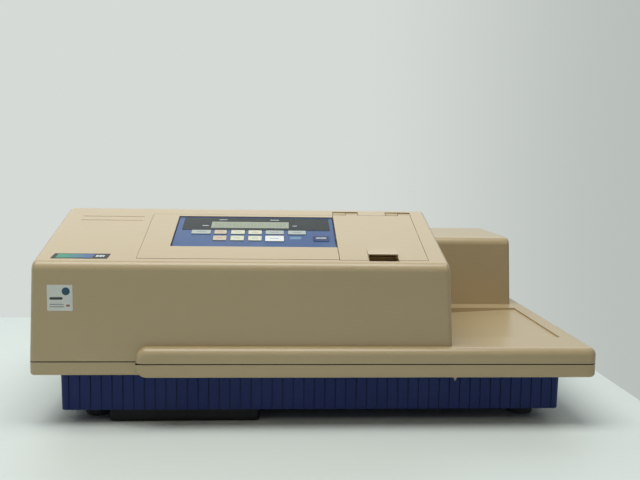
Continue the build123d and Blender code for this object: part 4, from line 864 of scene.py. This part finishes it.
@dataclass(frozen=True)
class Grid:
    """Columns and rows of one small shape, with pitches and size in millimetres."""

    shape: PatternShape
    counts: tuple[int, int]
    pitches: Pair
    size: tuple[float, float, float]
    origin: Vector
    turn: tuple[float, float, float]

    def values(self) -> dict[str, Any]:
        """The tree's inputs."""
        columns, rows = self.counts
        return {
            "Columns": columns,
            "Rows": rows,
            "Pitch X": self.pitches[0] * MM,
            "Pitch Y": self.pitches[1] * MM,
            "Size": tuple(length * MM for length in self.size),
            "Origin": self.origin,
            "Turn": self.turn,
        }


class Workshop:
    """What every sub-assembly draws on: the finishes by name and the pattern trees."""

    def __init__(self) -> None:
        """Build the shared effects, every finish and every tree."""
        groups = EffectGroups()
        self.finishes = {finish.name: finish.build(groups) for finish in finish_list()}
        self.patterns = PatternTrees()


@dataclass(frozen=True)
class Refined:
    """A CAD node, the finish it gets and the radius of its edges in millimetres."""

    node: str
    finish: str
    edge: float


@dataclass
class SubAssembly:
    """A group of nodes and pieces that come apart together on a bench."""

    shop: Workshop
    refined: ClassVar[tuple[Refined, ...]] = ()
    dressed: ClassVar[tuple[tuple[str, str], ...]] = ()

    def build(self) -> None:
        """Make the refined copies, dress the plain nodes and add the details."""
        for part in self.refined:
            refine(part.node, f"{part.node}_skin", self.shop.finishes[part.finish], part.edge)
        for node, finish in self.dressed:
            dress(node, self.shop.finishes[finish])
        self.add_details()

    def add_details(self) -> None:
        """Add the pieces that only the scene has."""

    def put(self, name: str, mesh: Mesh, finish: str, body: str = READER, smooth: bool = False) -> Piece:
        """Add a piece with one of the shop's finishes."""
        return place_piece(name, mesh, self.shop.finishes[finish], body, smooth)

    def repeat(self, name: str, tree: Tree, values: dict[str, Any], finish: str, smooth: bool = True) -> Piece:
        """Add a piece that a geometry tree makes.

        Args:
            name: The piece's name.
            tree: The geometry tree.
            values: The tree's inputs, without its material.
            finish: The piece's finish.
            smooth: Whether its faces shade smoothly.

        Returns:
            The finished piece.
        """
        mesh = self.shop.patterns.run(name, tree, {**values, "Material": self.shop.finishes[finish]})
        return self.put(name, mesh, finish, smooth=smooth)

    def grid(self, name: str, grid: Grid, finish: str, smooth: bool = True) -> None:
        """Add the piece that a grid makes."""
        self.repeat(name, self.shop.patterns.grids[grid.shape], grid.values(), finish, smooth)


@dataclass
class Casing(SubAssembly):
    """Cover, pan, tub, feet and the labels on them."""

    refined = (
        Refined("upper_cover", "beige_plastic", 0.35),
        Refined("lower_pan", "beige_plastic", 0.35),
        Refined("base_tub", "blue_plastic", 0.25),
        Refined("underside_cover", "black_moulding", 0.3),
        Refined("rubber_feet", "foot_rubber", 0.3),
    )
    dressed = (
        ("cover_screws", "bright_steel"),
        ("foot_screws", "bright_steel"),
        ("chassis_plate", "mill_aluminium"),
    )
    # What the label carries: name, place across and up from its middle, size, corner radius and finish
    label_prints = (
        ("dot", 6.0, 6.6, (8.0, 8.0), 4.0, "label_dot"),
        ("bar", -3.6, -0.6, (13.0, 2.6), 1.3, "label_ink"),
        ("upper_rule", -3.0, -6.6, (14.0, 0.7), 0.35, "grey_print"),
        ("lower_rule", -3.0, -9.0, (14.0, 0.7), 0.35, "grey_print"),
        ("tick_bar", 8.0, -7.8, (3.6, 2.2), 0.6, "brown_print"),
    )
    label_left: float = 19.5
    label_right: float = 44.6
    label_low: float = 120.6
    label_high: float = 146.9
    label_corner: float = 0.8
    label_thickness: float = 0.15
    print_thickness: float = 0.04

    def add_details(self) -> None:
        """Pale label without text on the upright face: a dot, a bar and two rules."""
        width, height = self.label_right - self.label_left, self.label_high - self.label_low
        across = LEFT_EDGE + (self.label_left + width / 2) * MM
        middle = Vector((across, HOUSING_FRONT, (self.label_low + height / 2) * MM))
        place = Matrix.Translation(middle) @ Matrix.Rotation(pi / 2, 4, "X")
        outline = rounded_outline(width, height, self.label_corner)
        self.put("front_label", slab_mesh(outline, -0.1, self.label_thickness, place), "label_stock")
        for name, over, up, size, radius, finish in self.label_prints:
            print_place = place @ Matrix.Translation(Vector((over * MM, up * MM, 0)))
            print_top = self.label_thickness + self.print_thickness
            mesh = slab_mesh(rounded_outline(*size, radius), 0.0, print_top, print_place)
            self.put(f"front_label_{name}", mesh, finish)


@dataclass
class ControlPanel(SubAssembly):
    """Panel plate, keypad film, display and the eleven keys."""

    refined = (
        Refined("control_panel_plate", "beige_plastic", 0.25),
        Refined("keypad_overlay", "blue_film", 0.1),
        Refined("display_window", "smoked_window", 0.1),
        Refined("lcd_module", "display_face", 0.1),
    )
    dressed = (("keypad_board", "solder_mask"),)
    key_finishes = {
        "top": ("key_grey", "key_peach", "key_yellow", "key_yellow", "key_grey", "key_grey"),
        "low": ("key_peach", "key_yellow", "key_yellow", "key_white"),
    }
    # The finish of a key's printed bar, where it isn't grey
    key_prints = {"key_peach": "brown_print", "key_white": "pale_blue_print"}
    # Left end, right end and place up the slope of the dashes on the window
    marks = ((164.0, 171.0, 103.0), (182.0, 191.0, 120.5), (240.0, 250.0, 120.5), (265.0, 270.0, 103.5))
    film_field: tuple[Pair, Pair] = ((262.0, 274.0), (66.5, 73.5))
    print_reach: float = 0.24
    bar_half: float = 0.6
    drawer_bar_inset: float = 3.0
    drawer_bar_half: float = 1.1
    ring_inset: Pair = (0.7, 2.4)
    mark_half: float = 0.7
    key_edge: float = 0.35
    # The dark strips paint the recess walls' shade together with the film's dark edge
    dark_strip_width: float = 0.7
    dark_strip_gap: float = 0.01
    cell_counts: tuple[int, int] = (20, 2)
    cell_margin: float = 6.0
    cell_share: float = 0.82
    cell_rise: float = 6.4
    cell_height: float = 5.2
    cell_thickness: float = 0.12

    def add_details(self) -> None:
        """Add the keys, the dark strips at the film's ends (part film edge, part painted shade of the recess
        walls), the printed marks and the display's cells.
        """
        for row, finishes in self.key_finishes.items():
            for number, finish in enumerate(finishes, 1):
                self._key(f"key_{row}_{number}", finish)
        self._drawer_key()
        self._dark_recess_strips()
        self._marks()
        self._cells()

    def _key(self, node: str, finish: str) -> None:
        """One key cap with a short plain printed bar."""
        span = slope_span(node)
        across, up = span.middle
        reach = span.size[0] * self.print_reach
        bar_up = (up - self.bar_half, up + self.bar_half)
        print_finish = self.key_prints.get(finish, "grey_print")
        bar = Patch((across - reach, across + reach), bar_up, span.top, print_finish, 0.3)
        refine(node, f"{node}_cap", self.shop.finishes[finish], self.key_edge, (bar,))

    def _drawer_key(self) -> None:
        """The outlined key with a white bar."""
        span = slope_span("drawer_key")
        up, inset, half = span.middle[1], self.drawer_bar_inset, self.drawer_bar_half
        bar_across, bar_up = (span.left + inset, span.right - inset), (up - half, up + half)
        bar = Patch(bar_across, bar_up, span.top, "white_print", 0.5)
        side, end = self.ring_inset
        ring_across, ring_up = (span.left + side, span.right - side), (span.low + end, span.high - end)
        ring = Patch(ring_across, ring_up, span.top, "film_edge", 1.2, 0.05, 1.0)
        refine("drawer_key", "drawer_key_cap", self.shop.finishes["key_blue"], self.key_edge, (bar, ring))

    def _dark_recess_strips(self) -> None:
        """Dark strips at the two ends of the sunk keypad: part the film's dark edge, part painted shade of the
        recess walls.
        """
        film = slope_span("keypad_overlay")
        inset = self.dark_strip_width / 2 + self.dark_strip_gap
        outline = rounded_outline(self.dark_strip_width, film.size[1] - 2 * self.dark_strip_gap, 0.2)
        for name, across in (("left", film.left + inset), ("right", film.right - inset)):
            place = Matrix.Translation(on_slope(across, film.middle[1], 0)) @ SLOPE_AXES
            self.put(f"keypad_dark_strip_{name}", slab_mesh(outline, film.top - 0.3, -0.2, place), "film_edge")

    def _marks(self) -> None:
        """Short white dashes on the window, and a pale field beside the keys."""
        window_top = slope_span("display_window").top
        for number, (left, right, up) in enumerate(self.marks, 1):
            mark_up = (up - self.mark_half, up + self.mark_half)
            dash = Patch((left, right), mark_up, window_top, "white_print", 0.3)
            self.put(f"window_mark_{number}", dash.mesh(), dash.finish)
        field_patch = Patch(*self.film_field, slope_span("keypad_overlay").top, "pale_blue_print", 0.4)
        self.put("film_field", field_patch.mesh(), field_patch.finish)

    def _cells(self) -> None:
        """Faint cells of the two-line display."""
        span = slope_span("lcd_module")
        pitch = (span.size[0] - self.cell_margin) / self.cell_counts[0]
        cell = (pitch * self.cell_share, self.cell_height, self.cell_thickness)
        origin = on_slope(*span.middle, span.top)
        turn = (SLOPE_ANGLE, 0.0, 0.0)
        cells = Grid(PatternShape.CELL, self.cell_counts, (pitch, self.cell_rise), cell, origin, turn)
        self.grid("display_cells", cells, "display_cell", smooth=False)


@dataclass
class CuvetteStation(SubAssembly):
    """Hinged lid, its pins and seal, and the well with its holder."""

    refined = (
        Refined("cuvette_lid", "beige_plastic", 0.3),
        Refined("cuvette_well", "black_moulding", 0.3),
        Refined("cuvette_holder", "black_anodised", 0.3),
        Refined("cuvette_lid_seal", "black_foam", 0.2),
    )
    dressed = (("hinge_pins", "bright_steel"),)


@dataclass
class Badge(SubAssembly):
    """Blank badge on the sloped top: a dark border round a plain field."""

    refined = (Refined("badge_plate", "badge_border", 0.1),)
    # Start and end of each piece along the plate, as shares of its length
    field_span: Pair = (0.08, 0.73)
    dashes: tuple[Pair, ...] = ((0.77, 0.82), (0.83, 0.88), (0.89, 0.92))
    plate_left: float = 20.0
    plate_length: float = 56.5
    plate_low: float = 11.5
    plate_rise: float = 12.0
    lean: float = 2.0
    border: float = 1.4
    dash_border: float = 4.0

    def add_details(self) -> None:
        """Add the coloured field and three plain pale dashes."""
        self._leaning("badge_field", self.field_span, "badge_field", self.border)
        for number, span in enumerate(self.dashes, 1):
            self._leaning(f"badge_dash_{number}", span, "white_print", self.dash_border)

    def _leaning(self, name: str, span: Pair, finish: str, border: float) -> None:
        """One leaning patch between two shares of the plate's length."""
        start, end = span
        low, high = border, self.plate_rise - border
        slant = self.lean / self.plate_rise
        corners = []
        for share, rise in ((start, low), (end, low), (end, high), (start, high)):
            corners.append((share * self.plate_length + rise * slant, rise))
        place = Matrix.Translation(on_slope(self.plate_left, self.plate_low, 0.2)) @ SLOPE_AXES
        self.put(name, slab_mesh(corners, -0.1, 0.06, place), finish)


@dataclass
class PlateDrawer(SubAssembly):
    """Drawer with its pusher, rails and rack drive."""

    refined = (
        Refined("plate_drawer", "black_anodised", 0.3),
        Refined("drawer_fascia", "beige_plastic", 0.35),
        Refined("plate_pusher", "white_nylon", 0.3),
        Refined("drawer_bushes", "white_nylon", 0.25),
        Refined("rail_brackets", "mill_aluminium", 0.2),
    )
    dressed = (
        ("drawer_rails", "bright_steel"),
        ("drawer_rack", "white_nylon"),
        ("drive_pinion", "cut_brass"),
        ("motor_shaft", "bright_steel"),
        ("drawer_motor", "motor_black"),
    )


@dataclass
class OpticsBench(SubAssembly):
    """Monochromator, lamp, light guide, bridge and detector, inside the cover."""

    refined = (Refined("optics_bridge", "black_anodised", 0.3), Refined("lamp_housing", "black_anodised", 0.3))
    dressed = (
        ("bridge_lenses", "lens_glass"),
        ("detector_bar", "black_anodised"),
        ("monochromator_case", "mill_aluminium"),
        ("monochromator_cover", "mill_aluminium"),
        ("grating_mount", "black_anodised"),
        ("grating", "ruled_mirror"),
        ("light_guide", "black_moulding"),
        ("power_supply", "mill_aluminium"),
        ("main_board", "solder_mask"),
    )


@dataclass
class RearPanel(SubAssembly):
    """Sheet with the inlet, the switch, the ports and the fan."""

    refined = (
        Refined("rear_panel", "mill_aluminium", 0.2),
        Refined("power_inlet", "black_moulding", 0.3),
        Refined("switch_frame", "black_moulding", 0.3),
        Refined("power_rocker", "black_moulding", 0.4),
        Refined("serial_port", "bright_steel", 0.25),
        Refined("printer_port", "bright_steel", 0.25),
        Refined("fan_frame", "black_moulding", 0.3),
        Refined("fan_rotor", "black_moulding", 0.25),
    )
    facing = (pi / 2, 0.0, pi)
    # Room beside the pins of each port
    port_margins = {"serial_port": 9.0, "printer_port": 10.0}
    pin_pitches: Pair = (2.77, 2.84)
    pin_size: tuple[float, float, float] = (1.0, 1.0, 4.0)
    pin_depth: float = 3.6
    guard_rings: int = 4
    guard_pitch: float = 6.0
    guard_largest: float = 26.0
    guard_reach: float = 37.0
    screw_size: tuple[float, float, float] = (5.6, 5.6, 3.2)
    screw_sunk: float = 0.1
    fan_screw_pitch: float = 50.0
    edge_screw_inset: Pair = (24.0, 20.0)
    rocker_rise: float = 2.0
    on_mark_depth: float = 1.1
    off_mark_depth: float = 2.3

    def add_details(self) -> None:
        """Add the port pins, the wire guard, the screws and the rocker's marks."""
        for node, margin in self.port_margins.items():
            self._port_pins(node, margin)
        self._guard()
        self._screws()
        self._rocker_marks()

    def _port_pins(self, node: str, margin: float) -> None:
        """Two rows of pins in a port."""
        low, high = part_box(node)
        columns = int(((high.x - low.x) / MM - 2 * margin) / self.pin_pitches[0]) + 1
        origin = Vector(((low.x + high.x) / 2, high.y - self.pin_depth * MM, (low.z + high.z) / 2))
        pins = Grid(PatternShape.PIN, (columns, 2), self.pin_pitches, self.pin_size, origin, self.facing)
        self.grid(f"{node}_pins", pins, "cut_brass")

    def _guard(self) -> None:
        """Wire guard over the fan, in place of the flat one."""
        low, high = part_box("fan_guard")
        values = {
            "Rings": self.guard_rings,
            "Pitch": self.guard_pitch * MM,
            "Largest": self.guard_largest * MM,
            "Wire": (high.y - low.y) / 2,
            "Reach": self.guard_reach * MM,
            "Origin": (low + high) / 2,
            "Turn": self.facing,
        }
        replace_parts(self.repeat("wire_guard", self.shop.patterns.guard, values, "bright_steel"), "fan_guard")

    def _screws(self) -> None:
        """Domed screws at the guard's corners and along the panel's edges."""
        low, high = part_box("rear_panel")
        across, up = self.edge_screw_inset
        edge_pitches = ((high.x - low.x) / MM - across, (high.z - low.z) / MM - up)
        fan_pitches = (self.fan_screw_pitch, self.fan_screw_pitch)
        outside = high.y - self.screw_sunk * MM
        for name, node, pitches in (("fan", "fan_guard", fan_pitches), ("panel", "rear_panel", edge_pitches)):
            low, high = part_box(node)
            origin = Vector(((low.x + high.x) / 2, outside, (low.z + high.z) / 2))
            screws = Grid(PatternShape.SCREW, (2, 2), pitches, self.screw_size, origin, self.facing)
            self.grid(f"{name}_screws", screws, "bright_steel")

    def _rocker_marks(self) -> None:
        """Plain on and off marks on the rocker: a bar and a ring."""
        low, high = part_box("power_rocker")
        rise = (high.z - low.z) / 2
        lean = atan2(self.rocker_rise * MM, rise)
        bar = rounded_outline(0.8, 3.4, 0.2)
        ring, ring_hole = rounded_outline(3.2, 3.2, 1.6), rounded_outline(1.9, 1.9, 0.95)
        marks = (
            ("on", 0.45, self.on_mark_depth, lean, bar, None),
            ("off", -0.45, self.off_mark_depth, -lean / 4, ring, ring_hole),
        )
        for name, share, depth, tilt, outline, hole in marks:
            height = (low.z + high.z) / 2 + rise * share
            middle = Matrix.Translation(Vector(((low.x + high.x) / 2, high.y - depth * MM, height)))
            turned = Matrix.Rotation(pi, 4, "Z") @ Matrix.Rotation(pi / 2 + tilt, 4, "X")
            mesh = slab_mesh(outline, -0.3, 0.12, middle @ turned, hole)
            self.put(f"rocker_{name}_mark", mesh, "white_print", "power_rocker")


@dataclass
class PhotoCamera:
    """The photograph's own viewpoint, solved from the object's straight edges."""

    place: tuple[float, float, float] = (-0.04159, -0.94866, 0.27633)
    yaw: float = 0.0555837
    pitch: float = 0.106646
    roll: float = 0.0142599
    lens: float = 43.22
    sensor: float = 36.0
    clip: Pair = (0.01, 50.0)

    def build(self) -> None:
        """Make the camera and set it as the scene's own."""
        data = bpy.data.cameras.new("photo_camera")
        data.lens = self.lens
        data.sensor_width = self.sensor
        data.clip_start, data.clip_end = self.clip
        forward = Vector((sin(self.yaw) * cos(self.pitch), cos(self.yaw) * cos(self.pitch), -sin(self.pitch)))
        side = Vector((cos(self.yaw), -sin(self.yaw), 0.0))
        above = side.cross(forward)
        right = cos(self.roll) * side + sin(self.roll) * above
        up = cos(self.roll) * above - sin(self.roll) * side
        turned = Matrix((right, up, -forward)).transposed().to_4x4()
        camera = bpy.data.objects.new("photo_camera", data)
        bpy.context.scene.collection.objects.link(camera)
        camera.matrix_world = Matrix.Translation(Vector(self.place)) @ turned
        bpy.context.scene.camera = camera


@dataclass
class SoftLamp:
    """A plain soft ceiling lamp."""

    name: str
    place: tuple[float, float, float]
    size: Pair
    radiance: float
    colour: Colour
    aim_height: float = 0.1

    def build(self) -> None:
        """Make the lamp, its long side along X, tipped towards the object."""
        data = bpy.data.lights.new(self.name, "AREA")
        data.shape = "RECTANGLE"
        data.size, data.size_y = self.size
        data.energy = self.radiance * self.size[0] * self.size[1] * pi
        data.color = linear(self.colour)[:3]
        lamp = bpy.data.objects.new(self.name, data)
        bpy.context.scene.collection.objects.link(lamp)
        lamp.location = self.place
        aim = Vector((self.place[0], 0.0, self.aim_height)) - Vector(self.place)
        lamp.rotation_euler = aim.to_track_quat("-Z", "Y").to_euler()


@dataclass
class Studio:
    """Pale table, pale surroundings and soft overhead light."""

    table_colour: Colour = (222, 232, 230)
    table_roughness: float = 0.5
    wall_left: Colour = (213, 218, 215)
    # The wall's colour at the right is darker by painted shade
    wall_right: Colour = (184, 190, 186)
    wall_turn: Pair = (0.08, 0.46)
    fill_front: Colour = (84, 82, 77)
    fill_back: Colour = (170, 173, 172)
    fill_turn: Pair = (-0.3, 0.6)
    fill_lift: float = 0.4
    table_left: float = -1.5
    table_right: float = 0.384
    table_front: float = -1.3
    table_back: float = 0.36
    table_depth: float = 0.03
    table_edge: float = 0.002
    lamps: list[SoftLamp] = field(
        default_factory=lambda: [
            SoftLamp("rear_ceiling_lamp", (0.0, 1.35, 1.35), (2.8, 1.1), 1.0, (236, 246, 255)),
            SoftLamp("ceiling_lamp", (-0.25, -0.3, 1.65), (1.5, 0.8), 5.2, (254, 252, 246)),
            SoftLamp("front_ceiling_lamp", (-0.2, -1.5, 1.7), (1.6, 0.8), 0.55, (255, 248, 236)),
        ]
    )

    def build(self) -> None:
        """Make the table, the world and the lamps."""
        self._world()
        self._table()
        for lamp in self.lamps:
            lamp.build()
        bpy.context.scene.view_settings.view_transform = "Standard"

    @staticmethod
    def _seen_directly(graph: Graph) -> Socket:
        """One where a ray comes from the camera or by a reflection or a refraction."""
        path = graph.node("ShaderNodeLightPath")
        first = graph.math("MAXIMUM", path.outputs["Is Camera Ray"], path.outputs["Is Glossy Ray"])
        return graph.math("MAXIMUM", first, path.outputs["Is Transmission Ray"])

    def _world(self) -> None:
        """Fill light, brighter from the pale wall behind, and where the wall is seen, its colour with painted
        shade that darkens it towards the right.
        """
        world = bpy.data.worlds.new("pale_room")
        bpy.context.scene.world = world
        world.use_nodes = True
        graph = Graph(world.node_tree)
        world.node_tree.nodes.clear()
        ray = graph.node("ShaderNodeTexCoord").outputs["Object"]
        lean = graph.math("ADD", graph.axis(ray, 1), graph.times(graph.axis(ray, 2), self.fill_lift))
        behind = graph.ramp(lean, *self.fill_turn)
        rightward = graph.ramp(graph.axis(ray, 0), *self.wall_turn)
        fill_colour = graph.blend(behind, linear(self.fill_front), linear(self.fill_back))
        wall_colour = graph.blend(rightward, linear(self.wall_left), linear(self.wall_right))
        fill = graph.node("ShaderNodeBackground", {"Color": fill_colour, "Strength": 1.0})
        wall = graph.node("ShaderNodeBackground", {"Color": wall_colour, "Strength": 1.0})
        choice = {0: self._seen_directly(graph), 1: fill.outputs[0], 2: wall.outputs[0]}
        mix = graph.node("ShaderNodeMixShader", choice)
        graph.node("ShaderNodeOutputWorld", {0: mix.outputs[0]})

    def _table(self) -> None:
        """Pale table top, with its right and back edges where the photograph has them."""
        low = Vector((self.table_left, self.table_front, -self.table_depth))
        high = Vector((self.table_right, self.table_back, 0.0))
        shape = bmesh.new()
        bmesh.ops.create_cube(shape, size=1.0)
        bmesh.ops.scale(shape, vec=high - low, verts=shape.verts)
        bmesh.ops.translate(shape, vec=(low + high) / 2, verts=shape.verts)
        bmesh.ops.bevel(shape, geom=shape.edges, offset=self.table_edge, segments=3, affect="EDGES")
        table = bpy.data.objects.new("table", finished_mesh("table", shape))
        bpy.context.scene.collection.objects.link(table)
        material = bpy.data.materials.new("table_top")
        material.use_nodes = True
        inputs = {"Base Color": linear(self.table_colour), "Roughness": self.table_roughness}
        Graph(material.node_tree).fill(material.node_tree.nodes["Principled BSDF"], inputs)
        table.data.materials.append(material)


def main() -> None:
    """Build the studio, then each sub-assembly in order."""
    logging.basicConfig(level=logging.INFO, format="%(message)s")
    PhotoCamera().build()
    Studio().build()
    shop = Workshop()
    for assembly in (Casing, ControlPanel, CuvetteStation, Badge, PlateDrawer, OpticsBench, RearPanel):
        assembly(shop).build()
        LOG.info("built %s", assembly.__name__)


if __name__ == "__main__":
    main()
